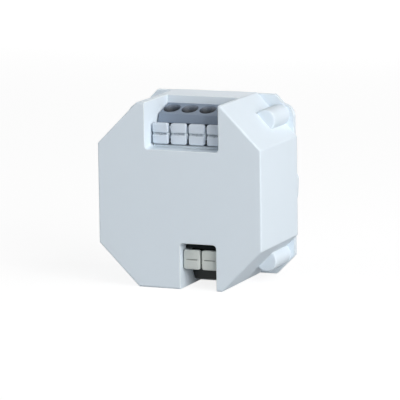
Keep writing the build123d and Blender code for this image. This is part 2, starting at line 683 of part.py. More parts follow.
CONTROL_X = (CONTROL_SIDE_ROOM + WALL - WIDTH / 2, CONTROL_SIDE_ROOM + WALL - WIDTH / 2 + CONTROL_LENGTH)
CONTROL_Z = (-CONTROL_DROP - CONTROL_WIDTH / 2, CONTROL_WIDTH / 2 - CONTROL_DROP)
HEADER_X = CONTROL_X[0] + HEADER_INSET
HEADER_PINS = [(HEADER_X, HEADER_PITCH * (i - HEADER_COUNT / 2) - CONTROL_DROP)
               for i in range(HEADER_COUNT)]
PROCESSOR.x = CONTROL_X[1] - CONTROL_MARGIN - CRYSTAL_LENGTH - CRYSTAL_SPACE - PROCESSOR.length / 2
PROCESSOR.z = CONTROL_Z[0] + CONTROL_MARGIN + ANTENNA_WIDTH + LEG_REACH + PROCESSOR.width / 2 + PART_GAP


def relay_cover():
    outer = block(RELAY_X, (RELAY_Y[0], FLANGE_FRONT), RELAY_Z)
    outer = fillet(outer.edges().filter_by(Axis.Y) + outer.faces().sort_by(Axis.Y)[0].edges(),
                   2 * RELAY_WALL / 3)
    inside = [(low + RELAY_WALL, high - RELAY_WALL) for low, high in (RELAY_X, RELAY_Z)]
    return outer - block(inside[0], (RELAY_Y[0] + RELAY_WALL, BOARD_FRONT), inside[1])


def relay_base():
    """Flange that closes the cover, with a plug inside it."""
    gap = RELAY_WALL + FIT_GAP
    base = block(RELAY_X, (FLANGE_FRONT, BOARD_FRONT), RELAY_Z)
    base += block((RELAY_X[0] + gap, RELAY_X[1] - gap), (PLUG_FRONT, FLANGE_FRONT),
                  (RELAY_Z[0] + gap, RELAY_Z[1] - gap))
    for x, z in RELAY_PINS:
        base -= rod_y(x, z, PIN_RADIUS + HOLE_GAP, (PLUG_FRONT - 1, BOARD_FRONT + 1))
    return base


def relay_coil():
    """Bobbin and winding of the relay, as one wound piece with two flanges."""
    z = RELAY_CENTRE[1]
    start, end = CORE_FACE + CORE_PROUD, YOKE_FOOT[0]
    coil = rod_y(COIL_X, z, COIL_RADIUS, (start + COIL_FLANGE, end - COIL_FLANGE))
    for y in ((start, start + COIL_FLANGE), (end - COIL_FLANGE, end)):
        coil += block((COIL_X - COIL_RADIUS, COIL_X + COIL_RADIUS), y,
                      (z - COIL_FLANGE_HALF, z + COIL_FLANGE_HALF))
    for x, pin_z in RELAY_PINS[:2]:
        coil += rod_y(x, pin_z, PIN_RADIUS, (end - COIL_FLANGE / 2, PIN_END))
    return coil - rod_y(COIL_X, z, CORE_RADIUS + HOLE_GAP, (start - 1, end + 1))


def relay_yoke():
    """Soft-iron core and the angle that carries the armature."""
    z = RELAY_CENTRE[1]
    foot_half = YOKE_HALF_WIDTH - PIN_RADIUS - 2 * HOLE_GAP
    yoke = block((COIL_X - COIL_RADIUS + 1.0, YOKE_X[1]), YOKE_FOOT, (z - foot_half, z + foot_half))
    yoke += block(YOKE_X, (ARMATURE_Y[1] + ARMATURE_SEAT, YOKE_FOOT[1]),
                  (z - YOKE_HALF_WIDTH, z + YOKE_HALF_WIDTH))
    return yoke + rod_y(COIL_X, z, CORE_RADIUS, (CORE_FACE, YOKE_FOOT[1]))


def relay_armature():
    """Flat armature that tips on the yoke, with the leaf and rivet of the moving contact."""
    z = RELAY_CENTRE[1]
    armature = block((COIL_X - ARMATURE_REACH, LEAF_X[1]), ARMATURE_Y,
                     (z - ARMATURE_HALF_WIDTH, z + ARMATURE_HALF_WIDTH))
    armature += block(LEAF_X, (ARMATURE_Y[0], LEAF_END), (z - LEAF_HALF_WIDTH, z + LEAF_HALF_WIDTH))
    return armature + rod_x(RIVET_Y, z, RIVET_RADIUS, (LEAF_X[0], LEAF_X[1] + RIVET_PROUD))


def relay_contacts():
    """Fixed contact blade with its rivet and pin, and the pin of the moving contact."""
    z = RELAY_CENTRE[1]
    blade_front = RIVET_Y - 2 * RIVET_RADIUS
    blade = block(FIXED_X, (blade_front, PLUG_FRONT), (z - LEAF_HALF_WIDTH, z + LEAF_HALF_WIDTH))
    blade += rod_x(RIVET_Y, z, RIVET_RADIUS, (FIXED_X[0] - RIVET_PROUD, FIXED_X[0]))
    blade += rod_y(*RELAY_PINS[3], PIN_RADIUS, (PLUG_FRONT - HOLE_GAP, PIN_END))
    lead = rod_y(*RELAY_PINS[2], PIN_RADIUS, (YOKE_FOOT[1], PIN_END))
    return [blade, lead]


def transformer_core():
    """Two E-shaped ferrite halves that meet at the middle of the winding."""
    x, z = TRANSFORMER_CENTRE
    half_height = CORE_MIDDLE / 2 + CORE_WINDOW + CORE_LEG
    window_half = CORE_LENGTH / 2 - CORE_LEG
    depth_z = (z - CORE_THICKNESS / 2, z + CORE_THICKNESS / 2)
    halves = []
    for side in (-1, 1):
        limits = sorted((x, x + side * CORE_LENGTH / 2))
        half = block(limits, (TRANSFORMER_Y - half_height, TRANSFORMER_Y + half_height), depth_z)
        for row in (-1, 1):
            near, far = row * CORE_MIDDLE / 2, row * (CORE_MIDDLE / 2 + CORE_WINDOW)
            window = sorted((TRANSFORMER_Y + near, TRANSFORMER_Y + far))
            half -= block(sorted((x - side, x + side * window_half)), window,
                          (z - CORE_THICKNESS, z + CORE_THICKNESS))
        halves.append(half)
    return halves


def transformer_bobbin():
    """Tube and flanges on the core's middle leg, and the pin base below the core."""
    x, z = TRANSFORMER_CENTRE
    window_half = CORE_LENGTH / 2 - CORE_LEG - FIT_GAP
    leg_y, leg_z = CORE_MIDDLE / 2 + FIT_GAP, CORE_THICKNESS / 2 + FIT_GAP
    wall = BOBBIN_WALL
    tube = block((x - window_half, x + window_half),
                 (TRANSFORMER_Y - leg_y - wall, TRANSFORMER_Y + leg_y + wall),
                 (z - leg_z - wall, z + leg_z + wall))
    flange_y = CORE_MIDDLE / 2 + CORE_WINDOW - FIT_GAP
    flange_z = BOBBIN_WIDTH / 2 - BOBBIN_WALL / 2
    for end in (-window_half, window_half - wall):
        tube += block((x + end, x + end + wall), (TRANSFORMER_Y - flange_y, TRANSFORMER_Y + flange_y),
                      (z - flange_z, z + flange_z))
    tube -= block((x - CORE_LENGTH, x + CORE_LENGTH), (TRANSFORMER_Y - leg_y, TRANSFORMER_Y + leg_y),
                  (z - leg_z, z + leg_z))
    base = block((x - BOBBIN_LENGTH / 2, x + BOBBIN_LENGTH / 2), (BOARD_FRONT - BOBBIN_BASE, BOARD_FRONT),
                 (z - BOBBIN_WIDTH / 2, z + BOBBIN_WIDTH / 2))
    for pin_x, pin_z in TRANSFORMER_PINS:
        base += rod_y(pin_x, pin_z, PIN_RADIUS, (BOARD_FRONT - PIN_RADIUS, PIN_END))
    for side in (-1, 1):
        cheek = sorted((z + side * (leg_z + FIT_GAP), z + side * (leg_z + FIT_GAP + 2 * wall)))
        base += block((x - window_half, x - window_half + wall), (TRANSFORMER_Y, BOARD_FRONT), cheek)
        base += block((x + window_half - wall, x + window_half), (TRANSFORMER_Y, BOARD_FRONT), cheek)
    return tube + base


def transformer_winding():
    """Wound sleeve round the bobbin's tube, between its flanges."""
    x, z = TRANSFORMER_CENTRE
    half = CORE_LENGTH / 2 - CORE_LEG - FIT_GAP - BOBBIN_WALL - HOLE_GAP
    inner_y = CORE_MIDDLE / 2 + FIT_GAP + BOBBIN_WALL + HOLE_GAP
    inner_z = CORE_THICKNESS / 2 + FIT_GAP + BOBBIN_WALL + HOLE_GAP
    outer_y, outer_z = inner_y + WINDING_DEPTH, inner_z + WINDING_DEPTH
    coil = block((x - half, x + half), (TRANSFORMER_Y - outer_y, TRANSFORMER_Y + outer_y),
                 (z - outer_z, z + outer_z))
    coil = rounded(coil, Axis.X, 0.8 * WINDING_DEPTH)
    return coil - block((x - half - 1, x + half + 1), (TRANSFORMER_Y - inner_y, TRANSFORMER_Y + inner_y),
                        (z - inner_z, z + inner_z))


def electrolytic(can):
    """Aluminium can with a rolled groove near the board and a scored top."""
    front, back = BOARD_FRONT - CAN_STAND - can.length, BOARD_FRONT - CAN_STAND
    body = rod_y(can.x, can.z, can.radius, (front, back))
    body = fillet(body.edges().filter_by(GeomType.CIRCLE), CAN_GROOVE)
    groove = (back - 5 * CAN_GROOVE, back - 3.6 * CAN_GROOVE)
    body -= (rod_y(can.x, can.z, can.radius + 1, groove)
             - rod_y(can.x, can.z, can.radius - CAN_GROOVE, (front, back)))
    reach, half, floor = 0.6 * can.radius, CAN_SCORE / 2, front + CAN_SCORE
    body -= block((can.x - reach, can.x + reach), (front - 1, floor), (can.z - half, can.z + half))
    body -= block((can.x - half, can.x + half), (front - 1, floor), (can.z - reach, can.z + reach))
    for x, z in can.pins():
        body += rod_y(x, z, PIN_RADIUS, (back - CAN_SCORE, PIN_END))
    return body


def choke_core():
    """Ferrite drum with two leads."""
    back = BOARD_FRONT - CAN_STAND
    front = back - CHOKE.length
    core = rod_y(CHOKE.x, CHOKE.z, CHOKE.radius, (front, front + DRUM_FLANGE))
    core += rod_y(CHOKE.x, CHOKE.z, CHOKE.radius, (back - DRUM_FLANGE, back))
    core += rod_y(CHOKE.x, CHOKE.z, DRUM_CORE_RADIUS, (front, back))
    for x, z in CHOKE.pins():
        core += rod_y(x, z, PIN_RADIUS, (back - DRUM_FLANGE / 2, PIN_END))
    return core


def choke_winding():
    back = BOARD_FRONT - CAN_STAND
    span = (back - CHOKE.length + DRUM_FLANGE + HOLE_GAP, back - DRUM_FLANGE - HOLE_GAP)
    ring = rod_y(CHOKE.x, CHOKE.z, CHOKE.radius - CAN_STAND, span)
    return ring - rod_y(CHOKE.x, CHOKE.z, DRUM_CORE_RADIUS + HOLE_GAP, span)


def film_capacitor():
    """Potted box capacitor across the mains input."""
    x, z = FILM_CENTRE
    body = block((x - FILM_LENGTH / 2, x + FILM_LENGTH / 2),
                 (BOARD_FRONT - FILM_HEIGHT, BOARD_FRONT - CAN_STAND),
                 (z - FILM_WIDTH / 2, z + FILM_WIDTH / 2))
    body = fillet(body.edges(), FILM_ROUND)
    for pin_x, pin_z in FILM_PINS:
        body += rod_y(pin_x, pin_z, PIN_RADIUS, (BOARD_FRONT - 2 * CAN_STAND, PIN_END))
    return body


def varistor():
    """Coated disc that stands on its two leads."""
    x, z = VARISTOR_CENTRE
    middle = BOARD_FRONT - VARISTOR_STAND - VARISTOR_RADIUS
    disc = rod_z(x, middle, VARISTOR_RADIUS, (z - VARISTOR_THICKNESS / 2, z + VARISTOR_THICKNESS / 2))
    disc = fillet(disc.edges().filter_by(GeomType.CIRCLE), VARISTOR_THICKNESS / 4)
    for pin_x, pin_z in VARISTOR_PINS:
        disc += rod_y(pin_x, pin_z, PIN_RADIUS, (middle, PIN_END))
    return disc


def fusible_resistor():
    """Ceramic-coated resistor that lies above the board on its bent leads."""
    y = BOARD_FRONT - FUSE_STAND - FUSE_RADIUS
    (start, z), (end, _) = FUSE_PINS
    body_ends = ((start + end - FUSE_LENGTH) / 2, (start + end + FUSE_LENGTH) / 2)
    body = rod_x(y, z, FUSE_RADIUS, body_ends)
    body = fillet(body.edges().filter_by(GeomType.CIRCLE), FUSE_RADIUS / 2.5)
    body += rod_x(y, z, PIN_RADIUS, (start, end))
    for x, pin_z in FUSE_PINS:
        body += rod_y(x, pin_z, PIN_RADIUS, (y, PIN_END))
    return body


def chip(spec):
    """Moulded body with a marked corner and bent legs down to the board."""
    half_l, half_w = spec.length / 2, spec.width / 2
    body = block((spec.x - half_l, spec.x + half_l), spec.body_depth(), (spec.z - half_w, spec.z + half_w))
    face = spec.board + spec.away * spec.height
    corner = 2.5 * MARK_RADIUS
    body -= rod_y(spec.x - half_l + corner, spec.z + half_w - corner, MARK_RADIUS,
                  (face - MARK_DEPTH, face + MARK_DEPTH))
    knee = spec.board + spec.away * 0.45 * spec.height
    upper = sorted((knee, knee + spec.away * LEG_THICKNESS))
    lower = sorted((spec.board, knee + spec.away * LEG_THICKNESS))
    pitch = spec.length / spec.legs
    for i in range(spec.legs):
        x = spec.x - half_l + pitch * (i + 0.5)
        for side in (-1, 1):
            reach = sorted((spec.z + side * (half_w - LEG_THICKNESS), spec.z + side * (half_w + LEG_REACH)))
            drop = sorted((spec.z + side * (half_w + LEG_REACH - LEG_THICKNESS),
                           spec.z + side * (half_w + LEG_REACH)))
            body += block((x - LEG_WIDTH / 2, x + LEG_WIDTH / 2), upper, reach)
            body += block((x - LEG_WIDTH / 2, x + LEG_WIDTH / 2), lower, drop)
    return body


def main_pins():
    """Every place where a pin of one of the main board's own pieces goes through it."""
    places = TRANSFORMER_PINS + RELAY_PINS + FILM_PINS + VARISTOR_PINS + FUSE_PINS
    for terminal in TERMINALS:
        places = places + terminal_pins(terminal)
    for can in (SMOOTHING, STORAGE, CHOKE):
        places = places + can.pins()
    return places


def main_circuit_board():
    half_w, half_h = WIDTH / 2 - WALL - BOARD_GAP, HEIGHT / 2 - WALL - BOARD_GAP
    cut = half_w + half_h - BOARD_LIMIT
    board = plate(octagon(half_w, half_h, cut), (BOARD_FRONT, BOARD_BACK))
    for x, z in main_pins():
        board -= rod_y(x, z, PIN_RADIUS + HOLE_GAP, (BOARD_FRONT - 1, BOARD_BACK + 1))
    for x, z in HEADER_PINS:
        board -= rod_y(x, z, HEADER_PIN_RADIUS + HOLE_GAP, (BOARD_FRONT - 1, BOARD_BACK + 1))
    return board


def control_board():
    board = block(CONTROL_X, (CONTROL_FRONT, CONTROL_BACK), CONTROL_Z)
    board = rounded(board, Axis.Y, CONTROL_ROUND)
    for x, z in HEADER_PINS:
        board -= rod_y(x, z, HEADER_PIN_RADIUS + HOLE_GAP, (CONTROL_FRONT - 1, CONTROL_BACK + 1))
    return board


def header_body():
    """Plastic strip that spaces the two boards."""
    half = HEADER_PITCH / 2
    strip = block((HEADER_X - half, HEADER_X + half), (BOARD_BACK, CONTROL_FRONT),
                  (HEADER_PINS[0][1] - half, HEADER_PINS[-1][1] + half))
    for x, z in HEADER_PINS:
        strip -= rod_y(x, z, HEADER_PIN_RADIUS + HOLE_GAP / 2, (BOARD_BACK - 1, CONTROL_FRONT + 1))
    return strip


def header_pins():
    span = (BOARD_FRONT + HOLE_GAP, CONTROL_BACK + HEADER_PIN_PROUD)
    return [rod_y(x, z, HEADER_PIN_RADIUS, span) for x, z in HEADER_PINS]


def radio_shield():
    """Drawn metal can over the radio circuit, open towards its board."""
    x = (CONTROL_X[1] - CONTROL_MARGIN - SHIELD_LENGTH, CONTROL_X[1] - CONTROL_MARGIN)
    z = (CONTROL_Z[1] - CONTROL_MARGIN - SHIELD_WIDTH, CONTROL_Z[1] - CONTROL_MARGIN)
    depth, wall = (CONTROL_BACK, CONTROL_BACK + SHIELD_HEIGHT), SHIELD_WALL
    can = rounded(block(x, depth, z), Axis.Y, 3 * wall)
    return can - block((x[0] + wall, x[1] - wall), (depth[0], depth[1] - wall), (z[0] + wall, z[1] - wall))


def crystal():
    """Small metal-lidded clock crystal beside the processor."""
    x = PROCESSOR.x + PROCESSOR.length / 2 + CRYSTAL_SPACE
    body = block((x, x + CRYSTAL_LENGTH), (CONTROL_BACK, CONTROL_BACK + CRYSTAL_HEIGHT),
                 (PROCESSOR.z - CRYSTAL_WIDTH / 2, PROCESSOR.z + CRYSTAL_WIDTH / 2))
    return rounded(body, Axis.Y, CRYSTAL_WIDTH / 8)


def antenna():
    """Stamped strip antenna on two legs along the lower edge of the control board."""
    x = (CONTROL_X[1] - CONTROL_MARGIN - ANTENNA_LENGTH, CONTROL_X[1] - CONTROL_MARGIN)
    z = (CONTROL_Z[0] + CONTROL_MARGIN, CONTROL_Z[0] + CONTROL_MARGIN + ANTENNA_WIDTH)
    top, strip = CONTROL_BACK + ANTENNA_HEIGHT, ANTENNA_STRIP
    part = block(x, (top - strip, top), z)
    for foot in (x[0], x[0] + ANTENNA_FEED):
        part += block((foot, foot + strip), (CONTROL_BACK, top - strip), (z[0], z[0] + 3 * strip))
    return part


def insulating_sheet():
    """Fibre sheet between the boards and the rear cover."""
    inset = WALL + FIT_GAP + LIP_THICKNESS + 2 * FIT_GAP
    half_w, half_h = WIDTH / 2 - inset, HEIGHT / 2 - inset
    cut = half_w + half_h - boss_limit(2 * FIT_GAP)
    sheet = plate(octagon(half_w, half_h, cut), (SHELL_DEPTH - SHEET_THICKNESS, SHELL_DEPTH))
    for x, z in POSTS:
        sheet -= rod_y(x, z, POST_RADIUS + FIT_GAP, (SHELL_DEPTH - 1, SHELL_DEPTH + 1))
    return sheet


def save(name, solids):
    """Moves a piece to the part's axes and writes it, as one solid or a group of solids."""
    place = Pos(0, -DEPTH / 2, HEIGHT / 2)
    if not isinstance(solids, list):
        solids = [solids]
    moved = [solid for piece in solids for solid in (place * piece).solids()]
    shape = moved[0] if len(moved) == 1 else Compound(children=moved)
    export_step(shape, f"parts/{name}.step")


def main():
    os.makedirs("parts", exist_ok=True)
    save("front_housing", front_housing())
    save("rear_cover", rear_cover())
    save("cover_screws", cover_screws())
    for terminal in TERMINALS:
        save(f"terminal_housing_{terminal.name}", terminal_housing(terminal))
        for i in range(terminal.poles):
            save(f"push_button_{terminal.name}_{i + 1}", push_button(terminal, i))
            save(f"clamp_spring_{terminal.name}_{i + 1}", clamp_spring(terminal, i))
            save(f"contact_{terminal.name}_{i + 1}", contact_rail(terminal, i))
    save("relay_cover", relay_cover())
    save("relay_base", relay_base())
    save("relay_coil", relay_coil())
    save("relay_yoke", relay_yoke())
    save("relay_armature", relay_armature())
    save("relay_contacts", relay_contacts())
    save("transformer_core", transformer_core())
    save("transformer_bobbin", transformer_bobbin())
    save("transformer_winding", transformer_winding())
    save("film_capacitor", film_capacitor())
    save("smoothing_capacitor", electrolytic(SMOOTHING))
    save("storage_capacitor", electrolytic(STORAGE))
    save("varistor", varistor())
    save("fusible_resistor", fusible_resistor())
    save("choke_core", choke_core())
    save("choke_winding", choke_winding())
    save("bridge_rectifier", chip(RECTIFIER))
    save("optocoupler", chip(OPTOCOUPLER))
    save("main_circuit_board", main_circuit_board())
    save("control_board", control_board())
    save("header_body", header_body())
    save("header_pins", header_pins())
    save("processor", chip(PROCESSOR))
    save("radio_shield", radio_shield())
    save("crystal", crystal())
    save("antenna", antenna())
    save("insulating_sheet", insulating_sheet())


main()
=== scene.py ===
"""Dressed model of a flush-mounted switching module, laid out as an add-on and run as a script."""
import json
import math

import bmesh
import bpy
from bpy.props import FloatProperty, FloatVectorProperty, PointerProperty
from mathutils import Matrix, Vector


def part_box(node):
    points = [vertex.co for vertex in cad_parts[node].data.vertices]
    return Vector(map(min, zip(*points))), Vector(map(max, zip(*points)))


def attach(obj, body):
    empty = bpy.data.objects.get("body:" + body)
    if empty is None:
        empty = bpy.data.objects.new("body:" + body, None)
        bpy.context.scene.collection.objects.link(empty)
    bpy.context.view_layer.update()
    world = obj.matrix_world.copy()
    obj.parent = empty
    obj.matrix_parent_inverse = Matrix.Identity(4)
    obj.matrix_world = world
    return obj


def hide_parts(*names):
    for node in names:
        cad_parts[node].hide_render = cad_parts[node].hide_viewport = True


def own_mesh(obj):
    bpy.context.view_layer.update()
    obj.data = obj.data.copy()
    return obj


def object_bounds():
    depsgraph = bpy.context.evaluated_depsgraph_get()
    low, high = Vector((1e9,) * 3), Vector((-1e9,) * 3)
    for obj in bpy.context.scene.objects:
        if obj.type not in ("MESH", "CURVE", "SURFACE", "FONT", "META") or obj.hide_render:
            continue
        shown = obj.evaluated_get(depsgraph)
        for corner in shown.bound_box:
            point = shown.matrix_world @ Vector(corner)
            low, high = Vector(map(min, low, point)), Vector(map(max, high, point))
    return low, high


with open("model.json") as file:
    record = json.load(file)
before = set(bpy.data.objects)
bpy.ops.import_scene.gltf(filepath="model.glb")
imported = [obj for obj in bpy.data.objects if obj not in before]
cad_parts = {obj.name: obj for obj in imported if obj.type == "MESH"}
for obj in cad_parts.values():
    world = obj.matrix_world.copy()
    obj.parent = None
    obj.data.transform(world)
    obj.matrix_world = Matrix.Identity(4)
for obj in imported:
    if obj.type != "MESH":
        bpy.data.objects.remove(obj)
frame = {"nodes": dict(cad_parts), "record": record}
CAD_LOW, CAD_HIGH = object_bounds()

bl_info = {
    "name": "Switching module",
    "version": (1, 0, 0),
    "blender": (4, 5, 0),
    "location": "3D View > Sidebar > Module",
    "description": "Dresses the switching module: materials, terminals, buttons, inner parts and stage",
    "category": "Object",
}

MM = 0.001
# Tolerances and fixed small sizes
LEVEL = 0.01 * MM          # places that differ by less count as the same
NEAR = 0.05 * MM           # the same for pieces with small rounds
MERGED = 0.001 * MM        # corners of loose triangles this near to each other become one
CEILING_REACH = 0.3 * MM   # the upper block's front edge lies within this height above the caps
CUTTER_RISE = 1.5 * MM     # how far a wire entry's cutter stands out of the sloped face
CUTTER_LEAD = 1.0 * MM     # how far in front of a cap a slit's cutter starts
SLIT_ROUNDING = 0.45       # rounding of a slit's ends, as a share of its width
VALLEY_FLOOR = 0.35        # share of an upper button's valley that is flat
DISH_REACH = 0.3 * MM      # corners this near to a lower button's front move back with its dish
JOIN_OVERLAP = 0.2 * MM    # how far a stem or shank reaches into the part in front of it
BUTTON_EDGE = 0.12 * MM    # softening of the stem's and the shank's edges
ROUND_CORE = 0.8           # share of a round piece's radius that its outer surface stays clear of
ON_RING = 0.02             # share of the step between two rings by which a corner may miss its ring
HOLE_CORE = 0.5 * MM       # corners nearer to a winding's middle don't bound its hole
SMOOTH = 32                # degrees up to which two faces are shaded as one
SMOOTH_BLOCK = 28          # the same for a terminal block
SMOOTH_RIDGES = 70         # the same for the ridges of a winding
FLOOR_WIDTH = 30           # metres
# Soft lights: name, place from the object's middle, width. The stage settings hold their powers.
LIGHTS = (("side", (0.5, -0.1, 0.45), 0.5), ("key", (0.58, -0.42, 0.17), 0.5),
          ("left", (-0.62, -0.3, 0.2), 0.5), ("rear", (-0.2, 0.7, -0.02), 0.3))
RECORD_SLOT = {part["node"]: part["material_slot"] for part in frame["record"]["subparts"]}


def srgb(hex_colour):
    """Linear colour of an sRGB hex value."""
    parts = [int(hex_colour[i:i + 2], 16) / 255 for i in (1, 3, 5)]
    return tuple(c / 12.92 if c <= 0.04045 else ((c + 0.055) / 1.055) ** 2.4 for c in parts)


def colour_property(name, hex_colour, description):
    return FloatVectorProperty(name=name, description=description, subtype="COLOR", size=3,
                               min=0.0, max=1.0, default=srgb(hex_colour))


def number_property(name, value, description, **settings):
    return FloatProperty(name=name, description=description, default=value, **settings)


def length_property(name, millimetres, description):
    return number_property(name, millimetres * MM, description, unit="LENGTH", min=0.0, precision=5)


# Materials

def feed(tree, made, inputs):
    """Gives each socket of a node that inputs names its value, or links it to another node.
    A node among the values stands for its first output in use."""
    for socket, value in inputs.items():
        if isinstance(value, bpy.types.Node):
            value = next(output for output in value.outputs if output.enabled)
        if isinstance(value, bpy.types.NodeSocket):
            tree.links.new(value, made.inputs[socket])
        else:
            made.inputs[socket].default_value = value


def node(tree, kind, inputs=None, **settings):
    """Adds a shader node with its settings, values and links."""
    made = tree.nodes.new("ShaderNode" + kind)
    for name, value in settings.items():
        setattr(made, name, value)
    feed(tree, made, inputs or {})
    return made


def new_material(name, colour, roughness, metallic=0.0, ior=None, coat=0.0):
    """A material with a plain surface; returns it with its node tree, surface shader and coordinates."""
    material = bpy.data.materials.new(name)
    material.use_nodes = True
    material.diffuse_color = (*colour, 1.0)
    tree = material.node_tree
    shader = tree.nodes["Principled BSDF"]
    feed(tree, shader, {"Base Color": (*colour, 1.0), "Roughness": roughness, "Metallic": metallic,
                        "Coat Weight": coat})
    if ior is not None:
        feed(tree, shader, {"IOR": ior})
    place = node(tree, "TexCoord").outputs["Object"]
    return material, tree, shader, place


def shade(colour, factor):
    return (*[min(1.0, c * factor) for c in colour], 1.0)


def paint_edge_highlight(tree, colour, pale, radius):
    """Paints a highlight near sharp edges: blends a colour into a paler one there, which the normal of a
    rounded copy gives away. Returns the blend and that softened normal."""
    soft = node(tree, "Bevel", {"Radius": radius}, samples=6)
    sharp = node(tree, "NewGeometry").outputs["Normal"]
    turn = node(tree, "VectorMath", {0: soft, 1: sharp}, operation="DOT_PRODUCT")
    mask = node(tree, "MapRange", {"Value": turn, "From Min": 0.98, "From Max": 0.75})
    with_painted_light = node(tree, "Mix", {"Factor": mask, "A": colour, "B": pale}, data_type="RGBA")
    return with_painted_light, soft


def paint_hollow_shade(tree, colour, reach, kept, closed, free):
    """Paints shade into the piece's own holes: darkens a colour by the open share of the view over reach
    millimetres.
    The colour stays whole where that share is free, and only its kept part is left where it is closed."""
    view_out = node(tree, "AmbientOcclusion", {"Distance": reach * MM}, samples=8, only_local=True)
    share = node(tree, "MapRange", {"Value": view_out.outputs["AO"], "From Min": closed, "From Max": free,
                                    "To Min": kept, "To Max": 1.0}, interpolation_type="SMOOTHSTEP")
    return node(tree, "Mix", {"Factor": 1.0, "A": colour, "B": share},
                data_type="RGBA", blend_type="MULTIPLY")


def moulded(name, colour, roughness, grain, depth, ior, edge=0.3, mottling=0.03, coat=0.0, hollow_shade=None,
            specular=0.5, edge_highlight=1.12):
    """Moulded plastic: flow mottling, the grain of the eroded mould, edges a little paler with painted
    highlight.
    Grain, depth and edge are in millimetres. The real grain, 0.05 mm, is drawn coarser to show."""
    material, tree, shader, place = new_material(name, colour, roughness, ior=ior, coat=coat)
    flow = node(tree, "TexNoise", {"Vector": place, "Scale": 1 / (9 * MM), "Detail": 3.0})
    tint = node(tree, "Mix", {"Factor": flow, "A": shade(colour, 1 - mottling),
                              "B": shade(colour, 1 + mottling)}, data_type="RGBA")
    # Painted highlight on the edges.
    with_painted_light, soft = paint_edge_highlight(tree, tint, shade(colour, edge_highlight), edge * MM)
    # Painted shade in the piece's own hollows.
    if hollow_shade:
        with_painted_light = paint_hollow_shade(tree, with_painted_light, **hollow_shade)
    fine = node(tree, "TexNoise", {"Vector": place, "Scale": 1 / (grain * MM), "Detail": 4.0,
                                   "Roughness": 0.6})
    gloss = node(tree, "MapRange", {"Value": fine, "To Min": roughness - 0.06, "To Max": roughness + 0.08})
    bump = node(tree, "Bump", {"Height": fine, "Distance": depth * MM, "Strength": 0.6, "Normal": soft})
    feed(tree, shader, {"Base Color": with_painted_light, "Specular IOR Level": specular, "Roughness": gloss,
                        "Normal": bump})
    return material


def rolled(name, colour, roughness, line, stretch, depth):
    """Rolled, drawn or plated metal: fine lines along one direction, stains, edges brighter with painted
    highlight.
    Line and depth are in millimetres. The real lines, 0.02 mm apart, are drawn coarser to show. They
    run along the axes with the smallest stretch."""
    material, tree, shader, place = new_material(name, colour, roughness, metallic=1.0)
    turned = node(tree, "Mapping", {"Vector": place, "Scale": stretch})
    lines = node(tree, "TexNoise", {"Vector": turned, "Scale": 1 / (line * MM), "Detail": 3.0})
    stain = node(tree, "TexNoise", {"Vector": place, "Scale": 1 / (2.5 * MM), "Detail": 4.0})
    tint = node(tree, "Mix", {"Factor": stain, "A": shade(colour, 0.82), "B": shade(colour, 1.08)},
                data_type="RGBA")
    # Painted highlight on the edges.
    with_painted_light, soft = paint_edge_highlight(tree, tint, shade(colour, 1.25), 0.12 * MM)
    gloss = node(tree, "MapRange", {"Value": lines, "To Min": roughness - 0.08,
                                    "To Max": roughness + 0.12})
    bump = node(tree, "Bump", {"Height": lines, "Distance": depth * MM, "Strength": 0.5, "Normal": soft})
    feed(tree, shader, {"Base Color": with_painted_light, "Roughness": gloss, "Normal": bump})
    return material


# Painted shade in the deep wire entries and the shallow slits: how quickly each darkens
WIRE_ENTRY_SHADE = {"reach": 8.0, "closed": 0.62, "free": 0.97}
SLIT_SHADE = {"reach": 0.8, "closed": 0.5, "free": 0.9}


def white_abs(settings):
    # Injection-moulded ABS from an eroded mould: satin, faintly cool white, edges a touch brighter with
    # painted highlight.
    return moulded("white_abs", settings.shell_colour, 0.56, 0.4, 0.012, 1.53, edge=0.4, mottling=0.012,
                   specular=0.3, edge_highlight=1.3)


def grey_polyamide(settings):
    # Glass-filled polyamide: slate grey, a little cloudy from the fibres, satin, edges paler with painted
    # highlight.
    # The wire entries are deep and narrow, so the painted shade in them darkens quickly.
    return moulded("grey_polyamide", settings.block_colour, 0.5, 0.3, 0.02, 1.53, edge=0.25,
                   mottling=0.05, hollow_shade={**WIRE_ENTRY_SHADE, "kept": 0.1}, specular=0.3, edge_highlight=1.4)


def black_polyamide(settings):
    # The same filled polyamide in black, with painted highlight on its edges and painted shade in its wire
    # entries.
    return moulded("black_polyamide", settings.black_colour, 0.5, 0.3, 0.02, 1.53, edge=0.2, mottling=0.1,
                   hollow_shade={**WIRE_ENTRY_SHADE, "kept": 0.2}, specular=0.25)


def white_polycarbonate(settings):
    # Polished polycarbonate buttons: smoother and glossier than the shell, edges paler with painted
    # highlight.
    # The groove and the slit between two pads are narrow and hold painted shade.
    return moulded("white_polycarbonate", settings.button_colour, 0.32, 0.5, 0.006, 1.585, edge=0.3,
                   hollow_shade={**SLIT_SHADE, "kept": 0.8}, edge_highlight=1.4)


def pale_grey_polycarbonate(settings):
    # The lower pair of buttons, moulded in a warmer grey, with painted shade in the slit and painted
    # highlight on the edges.
    return moulded("pale_grey_polycarbonate", settings.lower_button_colour, 0.36, 0.5, 0.006, 1.585,
                   edge=0.3, hollow_shade={**SLIT_SHADE, "kept": 0.72})


def zinc_plated_steel():
    # Blue-passivated screws: cool grey, clouded plating.
    return rolled("zinc_plated_steel", srgb("#B9BEC4"), 0.32, 0.12, (1, 1, 1), 0.004)


def spring_steel():
    # Cold-rolled strip, with the lines of rolling along its length.
    return rolled("spring_steel", srgb("#B4B2AE"), 0.26, 0.15, (4, 0.4, 0.4), 0.003)


def tinned_copper():
    # Stamped copper under a thin bath of tin: a pale, warm tone, brighter at the edges with painted
    # highlight.
    return rolled("tinned_copper", srgb("#C9A27E"), 0.3, 0.15, (4, 1, 0.4), 0.003)


def soft_iron():
    # Annealed relay iron, nickel flashed, a dull even grey.
    return rolled("soft_iron", srgb("#9C9C9E"), 0.42, 0.2, (0.5, 3, 3), 0.004)


